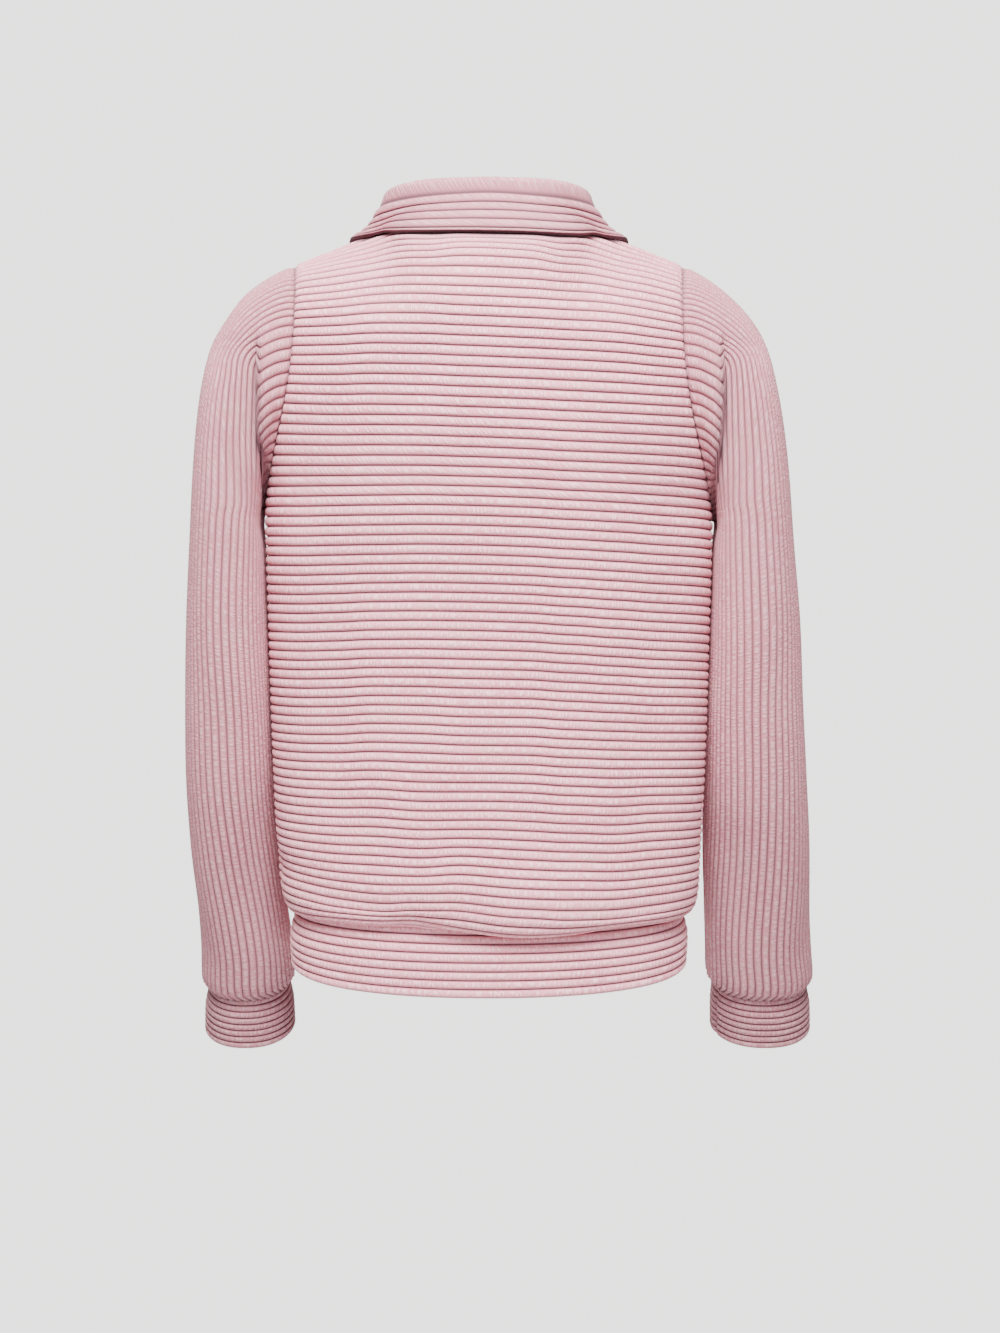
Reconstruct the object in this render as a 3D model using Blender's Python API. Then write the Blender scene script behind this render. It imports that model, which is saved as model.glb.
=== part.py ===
import math

import bmesh
import bpy
import numpy as np
from mathutils import Matrix

# A ribbed knit sweatshirt with a short zip, in its worn form and hollow.
# Metres, +Z up. +Y is the garment's back and +X is the wearer's left side.
# The origin is in the middle of the neck, level with the top of the shoulders.

NAME = "quarter_zip_sweatshirt"

# Cloth and seams
CLOTH = 0.0017          # wall of the knit in a groove between two ribs
RIB_HEIGHT = 0.0011     # how far a rib stands over the groove
SEAM = 0.0003           # space between two sewn pieces
SEAM_ROUND = 0.0007     # the same where the seam is curved
ARMHOLE_GAP = 0.0011    # the same at the armhole

# Neck and shoulders
NECK_X = 0.080          # the shoulder seam starts here, at the neck
NECK_Z = -0.003
SHOULDER_X = 0.159      # and ends here, at the sleeve
SHOULDER_Z = -0.0355
TOP_FADE = 14           # ribs over which the rows level out below the shoulder

# Ribs, counted down a panel from the shoulder seam
PANEL_RIBS = 78
UNDERARM_RIB = 31
NECK_FRONT_RIB = 10     # the front neckline reaches its lowest point here
ZIP_END_RIB = 32        # the zip opening ends here
SLOT_HALF = 0.006       # half the width of the zip opening

# Each row of a panel's table is one level. middle_* is on the centre line, edge_* on the
# armhole edge and, from the underarm down, on the side seam. turn is the angle in degrees
# that the level sweeps from the centre to its edge, and lean tips it towards the right.
PANEL_COLUMNS = ("rib", "middle_y", "middle_z", "edge_x", "edge_y", "edge_z", "turn", "lean")
BACK = (
    (0, 0.0550, -0.0140, 0.1590, 0.0000, -0.0355, 40, 0.000),
    (3, 0.0730, -0.0270, 0.1575, 0.0200, -0.0420, 41, 0.012),
    (6, 0.0880, -0.0430, 0.1560, 0.0390, -0.0530, 43, 0.022),
    (9, 0.0970, -0.0655, 0.1550, 0.0530, -0.0705, 46, 0.024),
    (12, 0.1035, -0.0900, 0.1550, 0.0610, -0.0900, 50, 0.025),
    (16, 0.1070, -0.1220, 0.1570, 0.0655, -0.1190, 55, 0.027),
    (20, 0.1080, -0.1540, 0.1615, 0.0620, -0.1500, 62, 0.028),
    (24, 0.1075, -0.1850, 0.1690, 0.0480, -0.1820, 71, 0.027),
    (27, 0.1060, -0.2080, 0.1750, 0.0300, -0.2055, 79, 0.026),
    (31, 0.1045, -0.2380, 0.1810, 0.0000, -0.2360, 88, 0.025),
    (36, 0.1020, -0.2760, 0.1800, 0.0000, -0.2740, 90, 0.024),
    (44, 0.1000, -0.3350, 0.1780, 0.0000, -0.3340, 90, 0.024),
    (54, 0.1010, -0.4095, 0.1755, 0.0000, -0.4085, 90, 0.022),
    (64, 0.1060, -0.4817, 0.1725, 0.0000, -0.4785, 90, 0.022),
    (69, 0.1110, -0.5184, 0.1705, 0.0000, -0.5130, 90, 0.024),
    (72, 0.1140, -0.5405, 0.1695, 0.0000, -0.5335, 90, 0.020),
    (74, 0.1135, -0.5550, 0.1675, 0.0000, -0.5460, 90, 0.014),
    (76, 0.1085, -0.5640, 0.1635, 0.0000, -0.5545, 90, 0.008),
    (77, 0.1040, -0.5660, 0.1608, 0.0000, -0.5565, 90, 0.004),
    (78, 0.0980, -0.5655, 0.1575, 0.0000, -0.5560, 90, 0.000),
)
FRONT = (
    (0, -0.0100, 0.0280, 0.1590, 0.0000, -0.0355, 40, 0.000),
    (3, -0.0340, -0.0020, 0.1560, -0.0190, -0.0430, 41, 0.012),
    (6, -0.0550, -0.0320, 0.1520, -0.0350, -0.0560, 43, 0.022),
    (9, -0.0705, -0.0620, 0.1495, -0.0460, -0.0750, 46, 0.024),
    (12, -0.0830, -0.0880, 0.1485, -0.0525, -0.0960, 50, 0.025),
    (16, -0.0970, -0.1210, 0.1505, -0.0565, -0.1250, 55, 0.027),
    (20, -0.1065, -0.1530, 0.1560, -0.0540, -0.1540, 62, 0.028),
    (24, -0.1125, -0.1840, 0.1650, -0.0430, -0.1840, 71, 0.027),
    (27, -0.1150, -0.2070, 0.1725, -0.0280, -0.2065, 79, 0.026),
    (31, -0.1165, -0.2370, 0.1810, 0.0000, -0.2360, 88, 0.025),
    (36, -0.1155, -0.2750, 0.1800, 0.0000, -0.2740, 90, 0.024),
    (44, -0.1115, -0.3350, 0.1780, 0.0000, -0.3340, 90, 0.024),
    (54, -0.1105, -0.4095, 0.1755, 0.0000, -0.4085, 90, 0.022),
    (64, -0.1145, -0.4805, 0.1725, 0.0000, -0.4785, 90, 0.022),
    (69, -0.1190, -0.5165, 0.1705, 0.0000, -0.5130, 90, 0.024),
    (72, -0.1215, -0.5380, 0.1695, 0.0000, -0.5335, 90, 0.020),
    (74, -0.1205, -0.5515, 0.1675, 0.0000, -0.5460, 90, 0.014),
    (76, -0.1155, -0.5600, 0.1635, 0.0000, -0.5545, 90, 0.008),
    (77, -0.1110, -0.5620, 0.1608, 0.0000, -0.5565, 90, 0.004),
    (78, -0.1050, -0.5615, 0.1575, 0.0000, -0.5560, 90, 0.000),
)

# The hem band, from its seam inside the body's fold down to its free edge.
HEM_RIBS = 9
HEM_COLUMNS = ("rib", "back_y", "front_y", "back_z", "front_z", "edge_x", "edge_z")
HEM = (
    (0, 0.0960, -0.1030, -0.5570, -0.5530, 0.1555, -0.5480),
    (2, 0.0968, -0.1038, -0.5720, -0.5680, 0.1563, -0.5600),
    (5, 0.0995, -0.1062, -0.5935, -0.5890, 0.1602, -0.5790),
    (9, 0.0985, -0.1055, -0.6210, -0.6170, 0.1590, -0.6020),
)

# Each row of the sleeve's table is one ring. out_* is its outer point and in_* the point
# nearest the body, each for the left and the right arm, which hang differently. middle_y
# and depth are its centre and half width front to back, and tip lowers its back point.
SLEEVE_RIBS = 42
SLEEVE_COLUMNS = ("ring", "out_left", "out_right", "out_z", "in_left", "in_right", "in_z",
                  "middle_y", "depth", "tip")
SLEEVE = (
    (0, 0.1590, 0.1590, -0.0355, 0.1810, 0.1810, -0.2360, 0.0020, 0.0650, 0.00),
    (1, 0.1745, 0.1725, -0.0430, 0.1865, 0.1865, -0.2375, 0.0020, 0.0700, 0.00),
    (2, 0.1965, 0.1935, -0.0590, 0.1885, 0.1885, -0.2420, 0.0020, 0.0735, 0.00),
    (3, 0.2110, 0.2110, -0.0787, 0.1885, 0.1885, -0.2480, 0.0015, 0.0755, 0.00),
    (4, 0.2245, 0.2245, -0.1040, 0.1875, 0.1875, -0.2545, 0.0010, 0.0760, 0.00),
    (5, 0.2335, 0.2345, -0.1440, 0.1860, 0.1860, -0.2640, 0.0000, 0.0755, 0.00),
    (6, 0.2385, 0.2415, -0.1950, 0.1848, 0.1848, -0.2790, -0.0005, 0.0735, 0.00),
    (7, 0.2420, 0.2465, -0.2590, 0.1838, 0.1838, -0.3050, -0.0025, 0.0705, 0.01),
    (8, 0.2455, 0.2525, -0.3250, 0.1822, 0.1822, -0.3480, -0.0065, 0.0670, 0.03),
    (9, 0.2475, 0.2560, -0.3900, 0.1805, 0.1805, -0.4010, -0.0150, 0.0635, 0.07),
    (10, 0.2485, 0.2605, -0.4500, 0.1790, 0.1800, -0.4540, -0.0270, 0.0600, 0.13),
    (11, 0.2470, 0.2650, -0.5050, 0.1770, 0.1810, -0.5060, -0.0430, 0.0560, 0.19),
    (12, 0.2435, 0.2680, -0.5600, 0.1740, 0.1835, -0.5590, -0.0620, 0.0520, 0.24),
    (13, 0.2425, 0.2715, -0.6020, 0.1695, 0.1860, -0.6010, -0.0780, 0.0495, 0.28),
    (14, 0.2430, 0.2735, -0.6220, 0.1675, 0.1870, -0.6220, -0.0865, 0.0475, 0.30),
    (15, 0.2395, 0.2705, -0.6285, 0.1715, 0.1912, -0.6285, -0.0900, 0.0440, 0.30),
)

# The cuff, from its seam inside the sleeve's end down to its free edge.
CUFF_RIBS = 9
CUFF_COLUMNS = ("rib", "out_left", "out_right", "in_left", "in_right", "z", "middle_y", "depth")
CUFF = (
    (0, 0.2381, 0.2691, 0.1729, 0.1926, -0.6235, -0.0882, 0.0427),
    (2, 0.2393, 0.2703, 0.1717, 0.1914, -0.6340, -0.0915, 0.0439),
    (5, 0.2425, 0.2735, 0.1690, 0.1905, -0.6500, -0.0965, 0.0452),
    (9, 0.2435, 0.2745, 0.1685, 0.1910, -0.6710, -0.1030, 0.0450),
)
CUFF_TIP = 0.30

# Soft folds of the sleeve: where along the ring table and round the sleeve (0 at the outer
# side, 0.25 at the back, 0.5 at the body), how far they run each way, and how deep.
SLEEVE_FOLDS_COLUMNS = ("ring", "around", "slant", "length", "width", "depth")
SLEEVE_FOLDS = (
    (3.6, 0.300, 0.020, 2.6, 0.045, 0.0080),
    (4.6, 0.690, -0.020, 2.2, 0.050, 0.0070),
    (8.6, 0.180, 0.030, 1.0, 0.070, 0.0025),
    (11.2, 0.330, -0.030, 0.9, 0.080, 0.0030),
    (9.6, 0.780, 0.020, 1.1, 0.080, 0.0030),
    (12.6, 0.120, 0.030, 0.7, 0.080, 0.0025),
)

# The collar, from the middle of the back (station 0) past the shoulder seam (station 1) to
# its front end (station 2). It is folded over: fold_* is its top line, and its free edge
# lies over the panel at the place edge_across, edge_rib, lifted clear of the cloth.
COLLAR_WALL = 0.0025
COLLAR_FOLD_RADIUS = 0.0022
COLLAR_LIFT = 0.0047
COLLAR_STAND_RIBS = 5
COLLAR_FALL_RIBS = 6
COLLAR_COLUMNS = ("station", "fold_x", "fold_y", "fold_z", "edge_across", "edge_rib")
COLLAR = (
    (0.0, 0.0000, 0.0470, 0.0285, 0.000, 1.5),
    (0.4, 0.0440, 0.0385, 0.0288, 0.380, 1.3),
    (0.8, 0.0745, 0.0130, 0.0290, 0.640, 0.6),
    (1.0, 0.0790, -0.0060, 0.0275, 0.710, 0.0),
    (1.3, 0.0700, -0.0340, 0.0140, 0.710, 5.0),
    (1.7, 0.0370, -0.0610, -0.0180, 0.470, 11.5),
    (2.0, 0.0110, -0.0720, -0.0440, 0.230, 14.5),
)

# The zip
TAPE_HALF = 0.015
TAPE_WALL = 0.0008
TAPE_DEPTH = 0.0027     # how far the tape's face lies under the front's
CHAIN_HALF = 0.0022
CHAIN_RISE = 0.0020
SLIDER_RIB = 12.2
SLIDER_LENGTH = 0.0110
SLIDER_WIDTH = 0.0090
PULL_LENGTH = 0.027
PULL_WIDTH = 0.0080
PULL_WALL = 0.0014
HINGE_HEIGHT = 0.0024   # of the pull's bar over the front's face


def column(table, columns, name, at):
    """Reads one column of a table as a smooth curve that never overshoots its rows."""
    xs = np.array([row[0] for row in table], dtype=float)
    ys = np.array([row[columns.index(name)] for row in table], dtype=float)
    steps = np.diff(xs)
    slopes = np.diff(ys) / steps
    tangents = np.empty_like(ys)
    tangents[0] = slopes[0]
    tangents[-1] = slopes[-1]
    before = slopes[:-1]
    after = slopes[1:]
    agree = before * after > 0
    total = np.where(agree, before + after, 1.0)
    tangents[1:-1] = np.where(agree, 2 * before * after / total, 0.0)
    at = np.clip(np.asarray(at, dtype=float), xs[0], xs[-1])
    i = np.clip(np.searchsorted(xs, at, side="right") - 1, 0, len(xs) - 2)
    t = (at - xs[i]) / steps[i]
    first = (1 + 2 * t) * (1 - t) ** 2 * ys[i] + t * (1 - t) ** 2 * steps[i] * tangents[i]
    second = t * t * (3 - 2 * t) * ys[i + 1] + t * t * (t - 1) * steps[i] * tangents[i + 1]
    return first + second


def unit(vectors):
    return vectors / np.linalg.norm(vectors, axis=-1, keepdims=True)


def stacked(x, y, z):
    x, y, z = np.broadcast_arrays(x, y, z)
    return np.stack([x, y, z], axis=-1).astype(float)


def facing(surface, a, b, low_a=-1.0, high_a=1.0, low_b=0.0, high_b=PANEL_RIBS, sign=1):
    """The direction square to a surface of two numbers, from four near points."""
    step_a = 0.002
    step_b = 0.05
    across = surface(np.minimum(a + step_a, high_a), b) - surface(np.maximum(a - step_a, low_a), b)
    along = surface(a, np.minimum(b + step_b, high_b)) - surface(a, np.maximum(b - step_b, low_b))
    return unit(np.cross(across, along)) * sign


# ---- the body's two panels -------------------------------------------------------------


def neck_across():
    """The place across a panel where its shoulder seam meets the neck."""
    turn = math.radians(BACK[0][6])
    return math.asin(NECK_X * math.sin(turn) / SHOULDER_X) / turn


def level(table, across, rib):
    """A panel's point at a place across (-1 to 1) and a rib, before the neck is shaped."""
    get = lambda name: column(table, PANEL_COLUMNS, name, rib)
    turn = np.radians(get("turn"))
    x = get("edge_x") * np.sin(across * turn) / np.sin(turn)
    near = np.clip(np.cos(across * turn), 0, 1) ** 0.8
    last = np.clip(np.cos(turn), 0, 1) ** 0.8
    bow = (near - last) / (1 - last)
    y = get("edge_y") + (get("middle_y") - get("edge_y")) * bow
    z = get("middle_z") + (get("edge_z") - get("middle_z")) * np.abs(across) ** 2.2
    return stacked(x, y, z + get("lean") * x * np.abs(across))


def top_line(table, across):
    """A panel's top edge: the back neckline between the shoulder seams, or the shoulder
    lines carried on across the neck on the front, where the neckline is cut lower."""
    neck = neck_across()
    side = np.sign(across)
    run = (np.abs(across) - neck) / (1 - neck)
    x = side * (NECK_X + (SHOULDER_X - NECK_X) * run)
    y = np.zeros_like(run)
    z = NECK_Z + (SHOULDER_Z - NECK_Z) * run
    if table is BACK:
        swing = np.clip(np.abs(across) / neck, 0, 1) * math.pi / 2
        inside = np.abs(across) < neck
        x = np.where(inside, side * NECK_X * np.sin(swing), x)
        y = np.where(inside, BACK[0][1] * np.cos(swing), y)
        z = np.where(inside, NECK_Z + (BACK[0][2] - NECK_Z) * np.cos(swing) ** 2, z)
    return stacked(x, y, z)


def panel(table, across, rib):
    """A panel's outer face, in the grooves between its ribs."""
    across, rib = np.broadcast_arrays(np.asarray(across, float), np.asarray(rib, float))
    q = np.clip(rib / TOP_FADE, 0, 1)
    fade = (1 - 3 * q ** 2 + 2 * q ** 3)[..., None]
    lift = top_line(table, across) - level(table, across, np.zeros_like(rib))
    return level(table, across, rib) + lift * fade


def front_start(rib):
    """The place across the front where it starts: its neckline, then the zip opening."""
    fall = np.clip(np.asarray(rib, float) / NECK_FRONT_RIB, 0, 1) ** 1.6
    x = SLOT_HALF + (NECK_X - SLOT_HALF) * (1 - fall) ** 0.75
    turn = np.radians(column(FRONT, PANEL_COLUMNS, "turn", rib))
    edge = column(FRONT, PANEL_COLUMNS, "edge_x", rib)
    return np.arcsin(np.clip(x * np.sin(turn) / edge, -1, 1)) / turn


def back_point(across, rib):
    return panel(BACK, across, rib) + np.array([0.0, SEAM / 2, 0.0])


def front_point(place, rib):
    """place runs from -1 at the right edge to 1 at the left one, and never touches 0."""
    start = front_start(rib)
    far = (np.abs(place) - STRIP) / (1 - STRIP)
    across = np.sign(place) * (start + (1 - start) * far)
    return panel(FRONT, across, rib) - np.array([0.0, SEAM / 2, 0.0])


STRIP = 0.02            # half the strip of the front's places that spans the zip opening


def neck_direction(points):
    """Which way the cloth's thickness lies at the neck seam: out from the neck and up."""
    out = points * np.array([1.0, 1.0, 0.0])
    return unit(unit(out) * 0.86 + np.array([0.0, 0.0, 0.5]))


def flattened(vectors, axis, where):
    """Takes one axis out of the directions at a seam, so that both sides of it match."""
    kept = vectors.copy()
    kept[..., axis] = np.where(where, 0.0, kept[..., axis])
    return unit(kept)


def panel_facing(table, across, rib):
    sign = 1 if table is BACK else -1
    away = facing(lambda a, b: panel(table, a, b), across, rib, sign=sign)
    rib = np.broadcast_to(rib, away.shape[:-1])
    across = np.broadcast_to(across, away.shape[:-1])
    seam = (rib < 0.01) | ((np.abs(across) > 0.999) & (rib > UNDERARM_RIB - 0.01))
    away = flattened(away, 1, seam)
    down = np.broadcast_to(np.array([0.0, 0.0, -1.0]), away.shape)
    return np.where((rib > PANEL_RIBS - 0.01)[..., None], down, away)


def armhole_edge(table, across, rib, away):
    """Turns the thickness at a panel's armhole edge to match the sleeve's."""
    down = np.clip(rib / UNDERARM_RIB, 0, 1) / 2
    around = down if table is BACK else 1 - down
    for side in (-1, 1):
        here = (np.abs(across - side) < 0.001) & (rib < UNDERARM_RIB + 0.01)
        away = np.where(here[..., None], armhole_direction(side, around), away)
    return away


def back_surface(across, rib):
    points = back_point(across, rib)
    away = panel_facing(BACK, across, rib)
    at_neck = (rib < 0.01) & (np.abs(across) < neck_across() - 0.001)
    away = np.where(at_neck[..., None], neck_direction(points), away)
    return points, armhole_edge(BACK, across, rib, away)


def front_surface(place, rib):
    points = front_point(place, rib)
    start = front_start(rib)
    far = (np.abs(place) - STRIP) / (1 - STRIP)
    across = np.sign(place) * (start + (1 - start) * far)
    away = panel_facing(FRONT, across, rib)
    at_neck = (far < 0.001) & (rib < NECK_FRONT_RIB + 0.01) & (rib > 0.01)
    away = np.where(at_neck[..., None], neck_direction(points), away)
    return points, armhole_edge(FRONT, across, rib, away)


# ---- walls -----------------------------------------------------------------------------


def ribs_along(height=RIB_HEIGHT):
    """Every second row of the outer face is the crest of a rib."""
    return lambda rows, columns: np.where(np.arange(rows) % 2 == 1, height, 0.0)[:, None]


def ribs_around(height=RIB_HEIGHT):
    return lambda rows, columns: np.where(np.arange(columns) % 2 == 1, height, 0.0)[None, :]


def grid_quads(ids, closed, slot):
    """Faces of a grid of points. slot leaves out one column down to a given row."""
    rows, columns = ids.shape
    quads = []
    for i in range(rows - 1):
        for j in range(columns if closed else columns - 1):
            if slot and j == slot[0] and i < slot[1]:
                continue
            k = (j + 1) % columns
            quads.append((ids[i, j], ids[i, k], ids[i + 1, k], ids[i + 1, j]))
    return quads


def joined(first, first_at, second, second_at):
    """Triangles between two lines of points that run side by side."""
    faces = []
    i = 0
    j = 0
    while i < len(first) - 1 or j < len(second) - 1:
        next_first = first_at[i + 1] if i < len(first) - 1 else math.inf
        next_second = second_at[j + 1] if j < len(second) - 1 else math.inf
        if next_first <= next_second:
            faces.append((first[i], first[i + 1], second[j]))
            i += 1
        else:
            faces.append((first[i], second[j + 1], second[j]))
            j += 1
    return faces


def rim_lines(ids, across, along, closed, slot):
    """The lines of points along a grid's open edges, with their places."""
    if closed:
        ring = list(range(len(across))) + [0]
        places = list(across) + [across[0] + 1.0]
        return [(ids[0, ring], places), (ids[-1, ring], places)]
    lines = [(ids[-1, :], across), (ids[:, 0], along), (ids[:, -1], along)]
    if not slot:
        return lines + [(ids[0, :], across)]
    j, last = slot
    lines.append((ids[0, :j + 1], across[:j + 1]))
    lines.append((ids[0, j + 1:], across[j + 1:]))
    lines.append((ids[:last + 1, j], along[:last + 1]))
    lines.append((ids[:last + 1, j + 1], along[:last + 1]))
    lines.append((ids[last, j:j + 2], across[j:j + 2]))
    return lines


def wall(name, surface, outer, inner, thickness, rise, closed=False, slot=None, inner_slot=None):
    """A wall of cloth: a fine outer face, a coarser plain inner one, and their rims.
    outer and inner are each (places across, places along)."""
    vertices = []
    grids = []
    for (across, along), is_outer in ((outer, True), (inner, False)):
        places, rows = np.meshgrid(across, along)
        points, away = surface(places, rows)
        offset = rise(len(along), len(across)) if is_outer else -thickness
        grid = points + away * np.broadcast_to(offset, places.shape)[..., None]
        grids.append(np.arange(grid.shape[0] * grid.shape[1]).reshape(places.shape) + len(vertices))
        vertices.extend(map(tuple, grid.reshape(-1, 3)))
    faces = grid_quads(grids[0], closed, slot) + grid_quads(grids[1], closed, inner_slot)
    outer_rims = rim_lines(grids[0], *outer, closed, slot)
    inner_rims = rim_lines(grids[1], *inner, closed, inner_slot)
    for (ids, at), (inner_ids, inner_at) in zip(outer_rims, inner_rims):
        faces += joined(list(ids), list(at), list(inner_ids), list(inner_at))
    return cloth_object(name, vertices, faces)


def cloth_object(name, vertices, faces):
    mesh = bpy.data.meshes.new(name)
    mesh.from_pydata(vertices, [], [[int(i) for i in face] for face in faces])
    work = bmesh.new()
    work.from_mesh(mesh)
    bmesh.ops.recalc_face_normals(work, faces=work.faces)
    work.to_mesh(mesh)
    work.free()
    mesh.shade_smooth()
    mesh.set_sharp_from_angle(angle=math.radians(70))
    piece = bpy.data.objects.new(name, mesh)
    collection.objects.link(piece)
    return piece


def make_back():
    outer = (ACROSS, np.arange(2 * PANEL_RIBS + 1) / 2)
    return wall("back", back_surface, outer, (ACROSS, INNER_RIBS), CLOTH, ribs_along())


def make_front():
    half = np.linspace(STRIP, 1, FRONT_COLUMNS + 1)
    places = np.concatenate([-half[::-1], half])
    rows = np.arange(2 * PANEL_RIBS + 1) / 2
    slot = (FRONT_COLUMNS, 2 * ZIP_END_RIB)
    inner_slot = (FRONT_COLUMNS, list(INNER_RIBS).index(ZIP_END_RIB))
    return wall("front", front_surface, (places, rows), (places, INNER_RIBS), CLOTH, ribs_along(),
                slot=slot, inner_slot=inner_slot)


HALF_ACROSS = np.array([0.0, neck_across() / 2, neck_across(), 0.70, 0.88, 1.0])
ACROSS = np.concatenate([-HALF_ACROSS[:0:-1], HALF_ACROSS])
FRONT_COLUMNS = 5
INNER_RIBS = np.array([0, 1.5, 3, 4.5, 6, 7, 8, 9, 9.5, 10, 13, 16, 19, 22, 24.5, 26.5, 28, 29.5,
                       31, 32, 38, 46, 54, 62, 69, 73, 75, 76.5, 78])


# ---- the hem band ----------------------------------------------------------------------


def hem_point(turn, rib):
    """turn runs once round: 0 to 1 across the back from the right, 1 to 2 back along the front."""
    turn = np.mod(turn, 2.0)
    get = lambda name: column(HEM, HEM_COLUMNS, name, rib)
    behind = turn <= 1
    across = np.where(behind, 2 * turn - 1, 3 - 2 * turn)
    far = np.where(behind, get("back_y"), get("front_y"))
    low = np.where(behind, get("back_z"), get("front_z"))
    angle = across * math.pi / 2
    x = get("edge_x") * np.sin(angle)
    y = far * np.clip(np.cos(angle), 0, 1) ** 0.8
    z = low + (get("edge_z") - low) * np.abs(across) ** 2.2
    return stacked(x, y, z)


def hem_surface(turn, rib):
    away = facing(hem_point, turn, rib, low_a=-9, high_a=9, high_b=HEM_RIBS, sign=1)
    return hem_point(turn, rib), away


def make_hem_band():
    half = np.linspace(STRIP, 1, FRONT_COLUMNS + 1)
    start = float(front_start(PANEL_RIBS))
    front = start + (1 - start) * (half - STRIP) / (1 - STRIP)
    front = np.concatenate([front[::-1][1:], -front[:-1]])
    turns = np.concatenate([(ACROSS + 1) / 2, (3 - front) / 2])
    rows = np.arange(2 * HEM_RIBS + 1) / 2
    return wall("hem_band", hem_surface, (turns, rows), (turns, np.array([0.0, 3.0, 6.0, 9.0])),
                CLOTH, ribs_along(0.0010), closed=True)


# ---- sleeves and cuffs -----------------------------------------------------------------


def armhole_line(side, around):
    """The seam round the armhole: from the shoulder down the back, under the arm and up the
    front."""
    around = np.mod(around, 1.0)
    rib = np.where(around <= 0.5, around * 2, 2 - around * 2) * UNDERARM_RIB
    edge = np.full_like(rib, float(side))
    behind = (around <= 0.5)[..., None]
    return np.where(behind, panel(BACK, edge, rib), panel(FRONT, edge, rib))


def armhole_direction(side, around):
    """Which way the cloth's thickness lies at the armhole: midway between the panel's outer
    face and the sleeve's."""
    around = np.mod(around, 1.0)
    rib = np.where(around <= 0.5, around * 2, 2 - around * 2) * UNDERARM_RIB
    edge = np.full_like(rib, float(side))
    behind = (around <= 0.5)[..., None]
    body = np.where(behind, facing(lambda a, b: panel(BACK, a, b), edge, rib),
                    facing(lambda a, b: panel(FRONT, a, b), edge, rib, sign=-1))
    arm = facing(lambda a, b: sleeve_point(side, a, b), around, np.full_like(around, 0.6),
                 low_a=-9, high_a=9, high_b=SLEEVE[-1][0], sign=-side)
    shared = unit(body + arm * 0.8)
    corner = (np.abs(around) < 0.001) | (np.abs(around - 0.5) < 0.001) | (around > 0.999)
    return flattened(shared, 1, corner)


def armhole(side, around):
    """The sleeve's first ring, with the direction of the cloth's thickness there."""
    away = armhole_direction(side, around)
    later = armhole_line(side, around + 0.002)
    sooner = armhole_line(side, around - 0.002)
    out = unit(np.cross(later - sooner, away))
    out = out * np.sign(out[..., :1] * side)
    return armhole_line(side, around) + out * ARMHOLE_GAP, away


def ring_point(side, around, ring):
    """A ring of the sleeve: an oval through its outer and inner points."""
    get = lambda name: column(SLEEVE, SLEEVE_COLUMNS, name, ring)
    hand = "left" if side > 0 else "right"
    angle = around * 2 * math.pi
    c = np.cos(angle)
    s = np.sin(angle)
    out_x = get("out_" + hand)
    in_x = get("in_" + hand)
    x = (out_x + in_x) / 2 + (out_x - in_x) / 2 * np.sign(c) * np.abs(c) ** 0.9
    z = (get("out_z") + get("in_z")) / 2 + (get("out_z") - get("in_z")) / 2 * c
    y = get("middle_y") + get("depth") * np.sign(s) * np.abs(s) ** 0.95
    return stacked(x * side, y, z - get("tip") * get("depth") * s)


def sleeve_point(side, around, ring):
    around, ring = np.broadcast_arrays(np.asarray(around, float), np.asarray(ring, float))
    seam = armhole_line(side, around)
    q = np.clip(ring / 4, 0, 1)[..., None]
    fade = 1 - 3 * q ** 2 + 2 * q ** 3
    points = ring_point(side, around, ring)
    points = points + (seam - ring_point(side, around, np.zeros_like(ring))) * fade
    middle = ring_point(side, np.zeros_like(around), ring)
    middle = (middle + ring_point(side, np.full_like(around, 0.5), ring)) / 2
    inward = unit(middle - points)
    for ring_at, place, slant, length, width, depth in SLEEVE_FOLDS:
        off = np.mod(around - place - slant * (ring - ring_at) + 0.5, 1.0) - 0.5
        reach = np.exp(-((ring - ring_at) / length) ** 2 - (off / width) ** 2)
        reach = reach * np.clip(ring / 1.5, 0, 1)
        points = points + inward * (depth * reach)[..., None]
    return points


def sleeve_surface(side):
    def surface(around, ring):
        points = sleeve_point(side, around, ring)
        away = facing(lambda a, b: sleeve_point(side, a, b), around, ring, low_a=-9, high_a=9,
                      high_b=SLEEVE[-1][0], sign=-side)
        start, shared = armhole(side, around)
        at_seam = (ring < 0.01)[..., None]
        points = np.where(at_seam, start, points)
        away = np.where(at_seam, shared, away)
        lengthwise = unit(np.array([0.0, 0.0, 1.0]) + np.array([0.0, CUFF_TIP, 0.0]))
        ends = (ring > SLEEVE[-1][0] - 0.01)[..., None]
        return points, np.where(ends, -np.broadcast_to(lengthwise, away.shape), away)
    return surface


def make_sleeve(side, name):
    around = np.arange(2 * SLEEVE_RIBS) / (2 * SLEEVE_RIBS)
    quarter = np.array([0.0, 0.06, 0.12, 0.18, 0.24, 0.30, 0.35, 0.39, 0.42, 0.45, 0.475])
    inner_around = np.concatenate([quarter, [0.5], 1 - quarter[:0:-1]])
    rings = np.array([0, 0.9, 2.1, 3.3, 4.6, 6.0, 7.5, 9.2, 11.0, 12.7, 14.0, 15])
    inner_rings = np.array([0, 0.9, 2.2, 3.8, 6.0, 8.2, 11.0, 13.2, 14.2, 15])
    return wall(name, sleeve_surface(side), (around, rings), (inner_around, inner_rings),
                CLOTH, ribs_around(), closed=True)


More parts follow.
